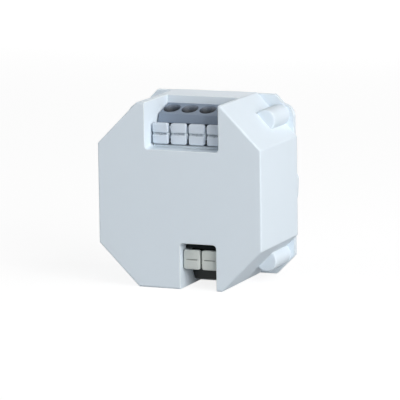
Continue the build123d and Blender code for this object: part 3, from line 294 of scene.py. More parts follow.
def plated_brass():
    # Header pins: drawn brass with a thin gold flash.
    return rolled("plated_brass", srgb("#D8B668"), 0.24, 0.1, (3, 0.4, 3), 0.002)


def tinplate():
    # Tinned sheet of the radio can: bright, with the spangle of the tin.
    return rolled("tinplate", srgb("#C4C5C2"), 0.3, 0.6, (1, 1, 1), 0.005)


def solder_mask():
    # Glass-epoxy board under green lacquer: a faint weave, copper a shade lighter with darker gaps.
    green = srgb("#1E6B43")
    material, tree, shader, place = new_material("green_solder_mask", green, 0.3, ior=1.5, coat=0.3)
    cells = node(tree, "TexVoronoi", {"Vector": place, "Scale": 1 / (2.4 * MM)},
                 feature="DISTANCE_TO_EDGE", distance="EUCLIDEAN")
    copper = node(tree, "MapRange", {"Value": cells, "From Min": 0.05, "From Max": 0.08})
    tint = node(tree, "Mix", {"Factor": copper, "A": shade(green, 0.62), "B": shade(green, 1.1)},
                data_type="RGBA")
    # The real glass threads, 0.4 mm apart, are drawn 0.8 mm apart to show.
    warp, weft = [node(tree, "TexWave", {"Vector": place, "Scale": 1 / (2.5 * MM), "Distortion": 0.6},
                       wave_type="BANDS", bands_direction=way) for way in "XZ"]
    weave = node(tree, "Math", {0: warp.outputs["Fac"], 1: weft.outputs["Fac"]}, operation="ADD")
    cloth = node(tree, "MapRange", {"Value": weave, "From Max": 2.0, "To Min": 0.92, "To Max": 1.06})
    shown = node(tree, "Mix", {"Factor": 1.0, "A": tint, "B": cloth},
                 data_type="RGBA", blend_type="MULTIPLY")
    raised = node(tree, "Math", {0: copper, 1: weave}, operation="ADD")
    bump = node(tree, "Bump", {"Height": raised, "Distance": 0.02 * MM, "Strength": 0.5})
    feed(tree, shader, {"Base Color": shown, "Normal": bump})
    return material


def blue_polyester():
    # Sealed relay housing: deep blue polyester with a smooth, faintly cloudy skin.
    return moulded("blue_polyester", srgb("#1D3A6B"), 0.36, 0.5, 0.008, 1.55, edge=0.2, mottling=0.08)


def enamelled_copper():
    # Wound wire under amber enamel: metal that shines through lacquer, a little uneven from turn to turn.
    # The real wire is 0.1 mm across. Its turns are modelled some 0.4 mm apart to show.
    colour = srgb("#B4582F")
    material, tree, shader, place = new_material("enamelled_copper", colour, 0.28, metallic=0.85,
                                                 coat=0.5)
    tone = node(tree, "TexNoise", {"Vector": place, "Scale": 1 / (1.5 * MM), "Detail": 3.0})
    tint = node(tree, "Mix", {"Factor": tone, "A": shade(colour, 0.7), "B": shade(colour, 1.2)},
                data_type="RGBA")
    # Painted highlight on the edges of the turns.
    with_painted_light, soft = paint_edge_highlight(tree, tint, shade(colour, 1.45), 0.06 * MM)
    # Painted shade in the valleys between the turns.
    deep = paint_hollow_shade(tree, with_painted_light, reach=0.5, kept=0.3, closed=0.4, free=0.85)
    drips = node(tree, "TexNoise", {"Vector": place, "Scale": 1 / (0.3 * MM), "Detail": 2.0})
    bump = node(tree, "Bump", {"Height": drips, "Distance": 0.02 * MM, "Strength": 0.5, "Normal": soft})
    feed(tree, shader, {"Base Color": deep, "Normal": bump})
    return material


def speckled(name, colour, roughness, cell, contrast, depth, ior):
    """Grainy solid: crystals or filler as small cells of differing tone, slightly pitted.
    Cell and depth are in millimetres. The real grains, under 0.1 mm, are drawn coarser to show."""
    material, tree, shader, place = new_material(name, colour, roughness, ior=ior)
    grains = node(tree, "TexVoronoi", {"Vector": place, "Scale": 1 / (cell * MM)})
    tint = node(tree, "Mix", {"Factor": grains, "A": shade(colour, 1 + contrast),
                              "B": shade(colour, 1 - contrast)}, data_type="RGBA")
    # Painted highlight on the edges.
    with_painted_light, soft = paint_edge_highlight(tree, tint, shade(colour, 1.5), 0.15 * MM)
    bump = node(tree, "Bump", {"Height": grains, "Distance": depth * MM, "Strength": 0.6, "Normal": soft})
    feed(tree, shader, {"Base Color": with_painted_light, "Normal": bump})
    return material


def sintered_ferrite():
    # Pressed and fired core: charcoal, matt, with the sparkle of fine crystals.
    return speckled("sintered_ferrite", srgb("#3A3A3E"), 0.55, 0.18, 0.25, 0.01, 2.2)


def phenolic():
    # Bobbins and header strip: brown-black thermoset, dull, with flecks of its filler.
    return speckled("phenolic_moulding", srgb("#2A2523"), 0.5, 0.3, 0.2, 0.01, 1.6)


def polyester_box():
    # Film capacitor's potted box: ochre polyester, satin, slightly uneven in tone.
    return moulded("ochre_polyester", srgb("#C79A2E"), 0.42, 0.4, 0.01, 1.55, edge=0.25, mottling=0.06)


def drawn_aluminium():
    # Deep-drawn can: pale, with fine lines along its length.
    return rolled("drawn_aluminium", srgb("#D3D5D8"), 0.24, 0.12, (3, 0.3, 3), 0.003)


def dipped_epoxy():
    # Varistor: blue epoxy from a dip, glossy, with a waxy unevenness.
    return moulded("dipped_epoxy", srgb("#2F5FA8"), 0.22, 1.1, 0.05, 1.55, edge=0.3, mottling=0.09,
                   coat=0.4)


def cement_coat():
    # Fusible resistor: flameproof cement, rough and chalky green-grey.
    return speckled("cement_coat", srgb("#7E9A7C"), 0.75, 0.22, 0.12, 0.03, 1.5)


def black_epoxy():
    # Chip packages: filled epoxy, matt from the mould, flecked with silica.
    return speckled("black_epoxy", srgb("#232426"), 0.6, 0.16, 0.2, 0.008, 1.55)


def shrunk_sleeve(name, colour):
    # Capacitors' shrink sleeve: thin glossy PVC with the faint ripple that shrinking leaves.
    return moulded(name, colour, 0.3, 0.9, 0.03, 1.54, edge=0.2, mottling=0.05, coat=0.2)


def bare_laminate():
    # Sawn edge of the circuit board: straw-coloured glass and resin, dry and slightly grainy.
    return speckled("bare_laminate", srgb("#B9B177"), 0.65, 0.2, 0.12, 0.02, 1.5)


def pressed_fibre():
    # Insulating sheet: fish paper, fibres running every way under a light sizing.
    colour = srgb("#C9BC9C")
    material, tree, shader, place = new_material("pressed_fibre", colour, 0.7, ior=1.5)
    layers = []
    for stretch in ((0.2, 1, 2), (2, 1, 0.2)):
        drawn_out = node(tree, "Mapping", {"Vector": place, "Scale": stretch})
        layers.append(node(tree, "TexNoise", {"Vector": drawn_out, "Scale": 1 / (0.6 * MM),
                                              "Detail": 3.0}))
    fibres = node(tree, "Math", dict(enumerate(layers)), operation="MULTIPLY")
    tint = node(tree, "MapRange", {"Value": fibres, "From Min": 0.1, "From Max": 0.45})
    shown = node(tree, "Mix", {"Factor": tint, "A": shade(colour, 0.8), "B": shade(colour, 1.08)},
                 data_type="RGBA")
    bump = node(tree, "Bump", {"Height": fibres, "Distance": 0.04 * MM, "Strength": 0.6})
    feed(tree, shader, {"Base Color": shown, "Normal": bump})
    return material


MATERIAL_OF_SLOT = {}


def build_materials(settings):
    """One material for each slot of the record."""
    MATERIAL_OF_SLOT.update({
        "shell_plastic": white_abs(settings),
        "terminal_grey": grey_polyamide(settings),
        "terminal_black": black_polyamide(settings),
        "button_white": white_polycarbonate(settings),
        "button_grey": pale_grey_polycarbonate(settings),
        "screw_steel": zinc_plated_steel(),
        "spring_steel": spring_steel(),
        "contact_copper": tinned_copper(),
        "relay_iron": soft_iron(),
        "pin_brass": plated_brass(),
        "shield_tin": tinplate(),
        "board_laminate": solder_mask(),
        "relay_plastic": blue_polyester(),
        "copper_wire": enamelled_copper(),
        "ferrite": sintered_ferrite(),
        "bobbin_plastic": phenolic(),
        "film_box": polyester_box(),
        "aluminium_can": drawn_aluminium(),
        "varistor_coat": dipped_epoxy(),
        "ceramic_coat": cement_coat(),
        "chip_moulding": black_epoxy(),
        "insulation": pressed_fibre(),
    })


def paint(obj, *materials):
    obj.data.materials.clear()
    for material in materials:
        obj.data.materials.append(material)


def paint_faces(obj, materials, choose):
    """Gives each face the material whose number choose returns for its middle and normal."""
    paint(obj, *materials)
    for face in obj.data.polygons:
        face.material_index = choose(face.center, face.normal)


# Modelling helpers

def take(obj):
    """Leaves obj alone selected and active."""
    bpy.ops.object.select_all(action="DESELECT")
    obj.select_set(True)
    bpy.context.view_layer.objects.active = obj


def add_shape(kind, **settings):
    """A mesh primitive whose place, turn and scale are in its mesh."""
    bpy.ops.object.select_all(action="DESELECT")
    getattr(bpy.ops.mesh, f"primitive_{kind}_add")(**settings)
    bpy.ops.object.transform_apply(location=True, rotation=True, scale=True)
    return bpy.context.active_object


def add_block(x, y, z):
    """A cube primitive between two limits on each axis."""
    return add_shape("cube", size=1.0, location=[(a + b) / 2 for a, b in (x, y, z)],
                     scale=[b - a for a, b in (x, y, z)])


def pick(obj, kind, wanted):
    """Enters edit mode and selects the verts, edges or faces whose middle wanted accepts."""
    if bpy.context.mode != "EDIT_MESH":
        take(obj)
        bpy.ops.object.mode_set(mode="EDIT")
    bpy.ops.mesh.select_mode(type={"verts": "VERT", "edges": "EDGE", "faces": "FACE"}[kind])
    bpy.ops.mesh.select_all(action="DESELECT")
    mesh = bmesh.from_edit_mesh(obj.data)
    for element in getattr(mesh, kind):
        if kind == "verts":
            middle = element.co
        elif kind == "edges":
            middle = (element.verts[0].co + element.verts[1].co) / 2
        else:
            middle = element.calc_center_median()
        if wanted(middle, element):
            element.select_set(True)
    mesh.select_flush_mode()
    bmesh.update_edit_mesh(obj.data)


def cut(obj, place, direction):
    """Bisects the whole mesh by a plane."""
    pick(obj, "faces", lambda middle, face: True)
    bpy.ops.mesh.bisect(plane_co=place, plane_no=direction)


def leave_edit():
    bpy.ops.object.mode_set(mode="OBJECT")


def apply_modifier(obj, kind, **settings):
    take(obj)
    modifier = obj.modifiers.new(kind.lower(), kind)
    for name, value in settings.items():
        setattr(modifier, name, value)
    bpy.ops.object.modifier_apply(modifier=modifier.name)


def subtract(obj, cutter):
    """Cuts one closed piece out of another and removes the cutter."""
    apply_modifier(obj, "BOOLEAN", operation="DIFFERENCE", object=cutter, solver="EXACT")
    bpy.data.objects.remove(cutter)


def join(pieces):
    bpy.ops.object.select_all(action="DESELECT")
    for piece in pieces:
        piece.select_set(True)
    bpy.context.view_layer.objects.active = pieces[0]
    bpy.ops.object.join()
    return pieces[0]


def smooth(obj, degrees=SMOOTH):
    take(obj)
    bpy.ops.object.shade_smooth_by_angle(angle=math.radians(degrees))


def settle(obj, name, body, slot, replaces=(), painted=False):
    """Names a finished piece, paints it unless that is done, and lets it ride on its body."""
    obj.name = name
    obj.data.name = name
    if not painted:
        paint(obj, MATERIAL_OF_SLOT[slot])
    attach(obj, body)
    if replaces:
        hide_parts(*replaces)


def copy_by(obj, offset):
    """A copy with its own mesh, moved in its mesh."""
    twin = obj.copy()
    twin.data = obj.data.copy()
    twin.data.transform(Matrix.Translation(offset))
    bpy.context.scene.collection.objects.link(twin)
    return twin


# Settings

class FinishSettings(bpy.types.PropertyGroup):
    """Colours of the visible plastics"""
    shell_colour: colour_property("Shell", "#DDE7EF", "Colour of the housing and the rear cover")
    block_colour: colour_property("Upper terminal", "#828FA0", "Colour of the four-pole terminal block")
    black_colour: colour_property("Lower terminal", "#1B2022", "Colour of the two-pole terminal block")
    button_colour: colour_property("Upper buttons", "#D2DCE7", "Colour of the four upper buttons")
    lower_button_colour: colour_property("Lower buttons", "#CBD0CC", "Colour of the two lower buttons")


class TerminalSettings(bpy.types.PropertyGroup):
    """Wire entries of the terminal blocks, and the upper block's front edge"""
    lip_upper: length_property("Upper lip", 0.3, "How far an upper entry widens at its mouth, all round")
    lip_lower: length_property("Lower lip", 0.45, "How far a lower entry widens at its mouth, all round")
    lip_depth: length_property("Lip depth", 0.5, "Depth of the widened mouth on the entry's axis")
    head_drop: length_property("Head drop", 0.6, "How far the upper block's front edge is lowered")


class ButtonSettings(bpy.types.PropertyGroup):
    """Sizes of the push buttons"""
    corner: length_property("Corner radius", 0.6, "Rounding of the pads' corners seen from the front")
    front_round: length_property("Front rounding", 0.3, "Rounding of a pad's front edge")
    valley: length_property("Valley width", 0.8, "Width of the groove between an upper button's pads")
    valley_depth: length_property("Valley depth", 0.4, "Depth of the groove between the two pads")
    waist: length_property("Waist", 0.16, "How far the sides draw in at the groove")
    slit: length_property("Slit width", 0.26, "Width of the narrow slit in the middle of a button")
    slit_length: length_property("Slit length", 3.1, "Length of the narrow slit")
    slit_depth: length_property("Slit depth", 0.35, "Depth of an upper button's slit")
    lower_slit_depth: length_property("Lower slit depth", 0.3, "Depth of a lower button's slit")
    eye: length_property("Eye diameter", 0.8, "Small round recess in the middle of an upper slit")
    dish: length_property("Dish depth", 0.1, "Depth of the shallow valley on a lower button")
    dish_width: length_property("Dish width", 1.28, "Width of the shallow valley on a lower button")
    shoulder: length_property("Shoulder", 0.3, "How far an upper stem swells at each side")


class InnerSettings(bpy.types.PropertyGroup):
    """Windings, clamp springs and capacitor sleeves inside the case"""
    transformer_pitch: length_property("Transformer turns", 0.45,
                                       "Distance from turn to turn on the transformer")
    relay_pitch: length_property("Relay turns", 0.36, "Distance from turn to turn on the relay coil")
    choke_pitch: length_property("Choke turns", 0.42, "Distance from turn to turn on the choke")
    turn_depth: length_property("Turn depth", 0.1, "Depth of the valley between two turns")
    spring_room: length_property("Spring room", 0.08, "Gap between a pushed button and its clamp spring")
    sleeve_colour: colour_property("Sleeve", "#24323E", "Colour of the capacitors' sleeves")
    stripe_colour: colour_property("Stripe", "#C9CED1", "Colour of the stripe on a sleeve's minus side")
    stripe_angle: number_property("Stripe width", math.radians(50),
                                  "Angle round the can that the stripe takes", subtype="ANGLE")


class StageSettings(bpy.types.PropertyGroup):
    """Camera, light and floor"""
    azimuth: number_property("Azimuth", 0.38999, "How far the camera stands to the right of the front",
                             subtype="ANGLE")
    elevation: number_property("Elevation", 0.17099, "How far the camera stands above the horizon",
                               subtype="ANGLE")
    roll: number_property("Roll", -0.01383, "Tilt of the camera round its line of sight", subtype="ANGLE")
    distance: length_property("Distance", 853.22, "From the camera to the middle of the front face")
    aside: number_property("Aside", -0.00538627, "Sideways place of the front's middle in the view",
                           unit="LENGTH", precision=5)
    above: number_property("Above", 0.00072158, "Upward place of the front's middle in the view",
                           unit="LENGTH", precision=5)
    lens: number_property("Lens", 300.726, "Focal length on a 36 mm sensor", unit="CAMERA")
    side: number_property("Side light", 2.05, "Watts of the high soft light on the right", min=0.0)
    key: number_property("Key light", 4.25, "Watts of the soft light at the front right", min=0.0)
    left: number_property("Left light", 2.1, "Watts of the soft light at the front left", min=0.0)
    rear: number_property("Rear light", 3.0, "Watts of the low soft light behind the object", min=0.0)
    sky: number_property("Surroundings", 0.15, "Even light from all sides", min=0.0)
    floor_colour: colour_property("Floor", "#8E9295", "Colour of the floor in the light it gives back")
    floor_glow: number_property("Floor white", 0.86, "Share of the floor's white that has no shadow",
                                min=0.0, max=1.0)
    floor_shadow: number_property("Floor shadow", 0.2, "Share of the floor's white that takes shadow",
                                  min=0.0, max=1.0)


# Operators

class MODULE_OT_finishes(bpy.types.Operator):
    """Gives every carried-over node the material of its real counterpart"""
    bl_idname = "module.finishes"
    bl_label = "Finishes"

    def execute(self, context):
        build_materials(context.scene.module_finish)
        for name, obj in frame["nodes"].items():
            paint(obj, MATERIAL_OF_SLOT[RECORD_SLOT[name]])
        return {"FINISHED"}


def merged_copy(node_name):
    """A copy of a CAD node whose loose triangles share their corners."""
    piece = frame["nodes"][node_name].copy()
    piece.data = piece.data.copy()
    for key in list(piece.keys()):
        del piece[key]
    bpy.context.scene.collection.objects.link(piece)
    pick(piece, "verts", lambda place, vert: True)
    bpy.ops.mesh.remove_doubles(threshold=MERGED)
    leave_edit()
    bpy.ops.mesh.customdata_custom_splitnormals_clear()
    return piece


def slope_of(points, low, high, side):
    """Front edge and rise of the sloped face that the wires enter, read from the block's left end.
    The front edge lies more than a millimetre in front of the back."""
    end = sorted({(round(p.z, 6), round(p.y, 6)) for p in points if abs(p.x - low.x) < LEVEL},
                 reverse=side > 0)
    tall = [point for point in end if abs(point[1] - high.y) < LEVEL][0]
    brow = [point for point in end if point[1] < high.y - MM][0]
    return brow, (tall[0] - brow[0]) / (tall[1] - brow[1])


class MODULE_OT_terminal_blocks(bpy.types.Operator):
    """Terminal blocks with a clean round lip at each wire entry; the upper front edge hangs lower"""
    bl_idname = "module.terminal_blocks"
    bl_label = "Terminal blocks"

    def execute(self, context):
        s = context.scene.module_terminals
        self.widen("upper", 1, s.lip_upper, s.lip_depth, "terminal_grey", s.head_drop)
        self.widen("lower", -1, s.lip_lower, s.lip_depth, "terminal_black", 0)
        return {"FINISHED"}

    def widen(self, which, side, lip, depth, slot, drop):
        """Widens a block's wire entries towards their mouths, which face up (1) or down (-1) by side."""
        source = f"terminal_housing_{which}"
        low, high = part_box(source)
        block = merged_copy(source)
        brow, rise = slope_of([v.co for v in block.data.vertices], low, high, side)
        if drop:
            cap_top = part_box(f"push_button_{which}_1")[1].z
            pick(block, "verts", lambda place, vert: 0 < place.z - cap_top < CEILING_REACH
                 and place.y < brow[1] + LEVEL)
            bpy.ops.transform.translate(value=(0, 0, -drop))
            leave_edit()
        for entry in frame["record"]["mounts"]:
            if not entry["name"].startswith(f"wire_entry_{which}"):
                continue
            x, y, _ = entry["pos_m"]
            radius = entry["dims"]["r_mm"] * MM
            surface = brow[0] + rise * (y - brow[1])
            mouth = radius + lip * (depth + CUTTER_RISE) / depth
            radii = (radius, mouth) if side > 0 else (mouth, radius)
            subtract(block, add_shape("cone", vertices=96, radius1=radii[0], radius2=radii[1],
                                      depth=depth + CUTTER_RISE,
                                      location=(x, y, surface + side * (CUTTER_RISE - depth) / 2)))
        smooth(block, SMOOTH_BLOCK)
        settle(block, f"terminal_block_{which}", "module", slot, replaces=[source])


def limits(points, axis):
    values = [getattr(p, axis) for p in points]
    return min(values), max(values)


def button_levels(node_name, low, high):
    """Back of the cap and of the stem, and the sides of stem and shank, read from the CAD button."""
    points = [v.co for v in frame["nodes"][node_name].data.vertices]
    cap_back = max(p.y for p in points if abs(p.x - low.x) < NEAR)
    shank = [p for p in points if p.y > high.y - NEAR]
    stem = [p for p in points if p.y > cap_back + NEAR and p.x < limits(shank, "x")[0] - NEAR]
    stem_back = max(p.y for p in stem)
    aside = limits(stem, "x")[0]
    return {"cap_back": cap_back, "stem_back": stem_back,
            "stem": ((aside, low.x + high.x - aside), limits(stem, "z")),
            "shank": (limits(shank, "x"), limits(shank, "z"))}


def runs_back(middle, edge):
    """Whether an edge runs from front to back."""
    return abs(edge.verts[0].co.y - edge.verts[1].co.y) > NEAR


def rounded_cap(low, high, cap_back, corner, front_round):
    """Pad with round corners, seen from the front, and a soft front edge. It stays in edit mode."""
    cap = add_block((low.x, high.x), (low.y, cap_back), (low.z, high.z))
    pick(cap, "edges", runs_back)
    bpy.ops.mesh.bevel(offset=corner, segments=5, profile=0.5, affect="EDGES", clamp_overlap=True)
    pick(cap, "edges", lambda middle, edge: middle.y < low.y + LEVEL)
    bpy.ops.mesh.bevel(offset=front_round, segments=4, profile=0.5, affect="EDGES", clamp_overlap=True)
    return cap


def carve_slit(cap, middle, front, depth, length, width, eye):
    """Narrow slit in a cap's front, with a round recess at its middle where it has an eye."""
    x, z = middle
    slit = add_block((x - length / 2, x + length / 2), (front - CUTTER_LEAD, front + depth),
                     (z - width / 2, z + width / 2))
    pick(slit, "edges", runs_back)
    bpy.ops.mesh.bevel(offset=width * SLIT_ROUNDING, segments=3, affect="EDGES")
    leave_edit()
    subtract(cap, slit)
    if eye > 0:
        subtract(cap, add_shape("cylinder", vertices=24, radius=eye / 2, depth=2 * CUTTER_LEAD,
                                location=(x, front + depth - CUTTER_LEAD, z),
                                rotation=(math.radians(90), 0, 0)))


def finish_button(cap, levels, high, shoulder):
    """Adds the stem, which swells by the shoulder, and the shank behind a cap, with softened edges."""
    pieces = [cap]
    for part, start, end in (("stem", levels["cap_back"], levels["stem_back"]),
                             ("shank", levels["stem_back"], high.y)):
        x, z = levels[part]
        swell = shoulder if part == "stem" else 0
        bar = add_block((x[0] - swell, x[1] + swell), (start - JOIN_OVERLAP, end), z)
        pick(bar, "edges", lambda middle, edge: middle.y > start)
        bpy.ops.mesh.bevel(offset=BUTTON_EDGE, segments=2, affect="EDGES")
        leave_edit()
        pieces.append(bar)
    button = join(pieces)
    smooth(button)
    return button


def set_row(button, row, count, slot):
    """Copies the first button along its row and lets each one ride on its own body."""
    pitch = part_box(f"push_button_{row}_2")[0].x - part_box(f"push_button_{row}_1")[0].x
    buttons = [button] + [copy_by(button, (pitch * i, 0, 0)) for i in range(1, count)]
    for i, piece in enumerate(buttons, 1):
        settle(piece, f"button_{row}_{i}", f"{row}_button_{i}", slot, replaces=[f"push_button_{row}_{i}"])


class MODULE_OT_upper_buttons(bpy.types.Operator):
    """Four white push buttons, each of two rounded pads with a valley and a slit between them"""
    bl_idname = "module.upper_buttons"
    bl_label = "Upper buttons"

    def execute(self, context):
        s = context.scene.module_buttons
        first = "push_button_upper_1"
        low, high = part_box(first)
        levels = button_levels(first, low, high)
        cap_back = levels["cap_back"]
        x, z = (low.x + high.x) / 2, (low.z + high.z) / 2
        cap = rounded_cap(low, high, cap_back, s.corner, s.front_round)
        for reach in (-1.0, -VALLEY_FLOOR, VALLEY_FLOOR, 1.0):
            cut(cap, (0, 0, z + reach * s.valley / 2), (0, 0, 1))
        floor = VALLEY_FLOOR * s.valley / 2 + LEVEL
        pick(cap, "verts", lambda place, vert: abs(place.z - z) < floor and place.y < cap_back - NEAR)
        bpy.ops.transform.translate(value=(0, s.valley_depth, 0))
        pick(cap, "verts", lambda place, vert: abs(place.z - z) < floor)
        wide = high.x - low.x
        bpy.ops.transform.resize(value=((wide - 2 * s.waist) / wide, 1, 1),
                                 center_override=(x, cap_back, z))
        leave_edit()
        carve_slit(cap, (x, z), low.y + s.valley_depth, s.slit_depth, s.slit_length, s.slit, s.eye)
        set_row(finish_button(cap, levels, high, s.shoulder), "upper", 4, "button_white")
        return {"FINISHED"}


class MODULE_OT_lower_buttons(bpy.types.Operator):
    """Two grey-white push buttons with one slit each"""
    bl_idname = "module.lower_buttons"
    bl_label = "Lower buttons"

    def execute(self, context):
        s = context.scene.module_buttons
        first = "push_button_lower_1"
        low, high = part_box(first)
        levels = button_levels(first, low, high)
        x, z = (low.x + high.x) / 2, (low.z + high.z) / 2
        cap = rounded_cap(low, high, levels["cap_back"], s.corner, s.front_round)
        for reach in (-0.5, 0.0, 0.5):
            cut(cap, (0, 0, z + reach * s.dish_width), (0, 0, 1))
        pick(cap, "verts", lambda place, vert: abs(place.z - z) < NEAR and place.y < low.y + DISH_REACH)
        bpy.ops.transform.translate(value=(0, s.dish, 0))
        leave_edit()
        carve_slit(cap, (x, z), low.y + s.dish, s.lower_slit_depth, s.slit_length, s.slit, 0)
        set_row(finish_button(cap, levels, high, 0), "lower", 2, "button_grey")
        return {"FINISHED"}


def draw_turns(piece, axis, span, pitch, depth, is_outer, middle):
    """Bisects a winding and draws in every other ring of its surface, so that each turn is a ridge."""
    turns = round((span[1] - span[0]) / pitch)
    step = (span[1] - span[0]) / (2 * turns)
    along = Vector([float(i == axis) for i in range(3)])
    for ring in range(1, 2 * turns):
        cut(piece, along * (span[0] + ring * step), along)

    def in_valley(place, vert):
        ring = (place[axis] - span[0]) / step
        near = round(ring)
        return abs(ring - near) < ON_RING and near % 2 == 1 and 0 < near < 2 * turns and is_outer(place)

    pick(piece, "verts", in_valley)
    outer = [v.co - middle for v in piece.data.vertices if is_outer(v.co)]
    factor = [1.0, 1.0, 1.0]
    for i in range(3):
        if i != axis:
            half = max(abs(p[i]) for p in outer)
            factor[i] = (half - depth) / half
    bpy.ops.transform.resize(value=factor, center_override=middle)
    leave_edit()


def hole_size(piece, middle):
    """Half size of a winding's square hole, a little enlarged, along each axis."""
    points = [v.co - middle for v in piece.data.vertices]
    return [min(abs(p[i]) for p in points if abs(p[i]) > HOLE_CORE) + NEAR for i in range(3)]


def round_side(low, high):
    """A test for points on the outer surface of a round piece whose axis runs along Y."""
    x, z = (low.x + high.x) / 2, (low.z + high.z) / 2
    core = ROUND_CORE * (high.x - low.x) / 2
    return lambda p: math.hypot(p.x - x, p.z - z) > core


class MODULE_OT_windings(bpy.types.Operator):
    """Transformer, relay and choke windings with a ridge for every turn"""
    bl_idname = "module.windings"
    bl_label = "Windings"

    def execute(self, context):
        s = context.scene.module_inner
        self.transformer(s)
        self.choke(s)
        self.relay_coil(s)
        return {"FINISHED"}

    def transformer(self, s):
        low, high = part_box("transformer_winding")
        middle = (low + high) / 2
        piece = merged_copy("transformer_winding")
        hole = hole_size(piece, middle)
        draw_turns(piece, 0, (low.x, high.x), s.transformer_pitch, s.turn_depth,
                   lambda p: abs(p.y - middle.y) > hole[1] or abs(p.z - middle.z) > hole[2], middle)
        smooth(piece, SMOOTH_RIDGES)
        settle(piece, "wound_transformer", "module", "copper_wire", replaces=["transformer_winding"])

    def choke(self, s):
        low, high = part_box("choke_winding")
        piece = merged_copy("choke_winding")
        draw_turns(piece, 1, (low.y, high.y), s.choke_pitch, s.turn_depth, round_side(low, high),
                   (low + high) / 2)
        smooth(piece, SMOOTH_RIDGES)
        settle(piece, "wound_choke", "module", "copper_wire", replaces=["choke_winding"])

    def relay_coil(self, s):
        low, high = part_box("relay_coil")
        piece = merged_copy("relay_coil")
        points = [v.co for v in piece.data.vertices]
        flanges = sorted({round(p.y, 6) for p in points if abs(p.z - low.z) < LEVEL})
        span = (flanges[1], flanges[2])
        draw_turns(piece, 1, span, s.relay_pitch, s.turn_depth, round_side(low, high), (low + high) / 2)
        smooth(piece, SMOOTH_RIDGES)
        paint_faces(piece, [MATERIAL_OF_SLOT["copper_wire"], MATERIAL_OF_SLOT["bobbin_plastic"],
                            MATERIAL_OF_SLOT["pin_brass"]],
                    lambda p, n: 0 if span[0] < p.y < span[1] else 2 if p.y > flanges[3] else 1)
        settle(piece, "wound_relay_coil", "module", RECORD_SLOT["relay_coil"], replaces=["relay_coil"],
               painted=True)


class MODULE_OT_clamp_springs(bpy.types.Operator):
    """Six clamp springs, each a copy of its CAD node with shared corners, shaded smooth"""
    bl_idname = "module.clamp_springs"
    bl_label = "Clamp springs"

    def execute(self, context):
        for pole in ("upper_1", "upper_2", "upper_3", "upper_4", "lower_1", "lower_2"):
            source = f"clamp_spring_{pole}"
            piece = merged_copy(source)
            smooth(piece)
            settle(piece, f"folding_{source}", "module", RECORD_SLOT[source], replaces=[source])
            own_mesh(piece)
        return {"FINISHED"}


class MODULE_OT_capacitors(bpy.types.Operator):
    """Two electrolytic capacitors in striped sleeves, with bare aluminium tops"""
    bl_idname = "module.capacitors"
    bl_label = "Capacitors"

    def execute(self, context):
        s = context.scene.module_inner
        sleeve = shrunk_sleeve("pvc_sleeve", s.sleeve_colour)
        stripe = shrunk_sleeve("pvc_sleeve_stripe", s.stripe_colour)
        for name in ("smoothing_capacitor", "storage_capacitor"):
            low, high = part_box(name)
            middle = (low + high) / 2
            on_side = round_side(low, high)

            def part_of_can(p, n):
                """Bare metal, sleeve or stripe, by their numbers."""
                if not on_side(p) or n.y < -0.5:
                    return 0
                turned = abs(math.atan2(p.x - middle.x, p.z - middle.z))
                return 2 if turned < s.stripe_angle / 2 else 1

            piece = merged_copy(name)
            smooth(piece)
            paint_faces(piece, [MATERIAL_OF_SLOT["aluminium_can"], sleeve, stripe], part_of_can)
            settle(piece, f"sleeved_{name}", "module", "aluminium_can", replaces=[name], painted=True)
        return {"FINISHED"}


class MODULE_OT_boards(bpy.types.Operator):
    """Both circuit boards, lacquered on their faces and bare along their sawn edges"""
    bl_idname = "module.boards"
    bl_label = "Circuit boards"

    def execute(self, context):
        edge = bare_laminate()
        for name in ("main_circuit_board", "control_board"):
            piece = merged_copy(name)
            smooth(piece)
            paint_faces(piece, [MATERIAL_OF_SLOT["board_laminate"], edge],
                        lambda p, n: int(abs(n.y) < 0.5))
            settle(piece, f"finished_{name}", "module", "board_laminate", replaces=[name], painted=True)
        return {"FINISHED"}


def add_soft_light(name, place, target, watts, width):
    """An area light at place that faces target."""
    data = bpy.data.lights.new(name, "AREA")
    data.energy = watts
    data.size = width
    light = bpy.data.objects.new(name, data)
    light.location = place
    light.rotation_euler = (target - place).to_track_quat("-Z", "Y").to_euler()
    bpy.context.scene.collection.objects.link(light)


def view_share(tree):
    """One where the camera, a reflection or a refraction looks, and nought for light on the object."""
    path = node(tree, "LightPath").outputs
    seen = node(tree, "Math", {0: path["Is Camera Ray"], 1: path["Is Glossy Ray"]}, operation="MAXIMUM")
    return node(tree, "Math", {0: seen, 1: path["Is Transmission Ray"]}, operation="MAXIMUM")


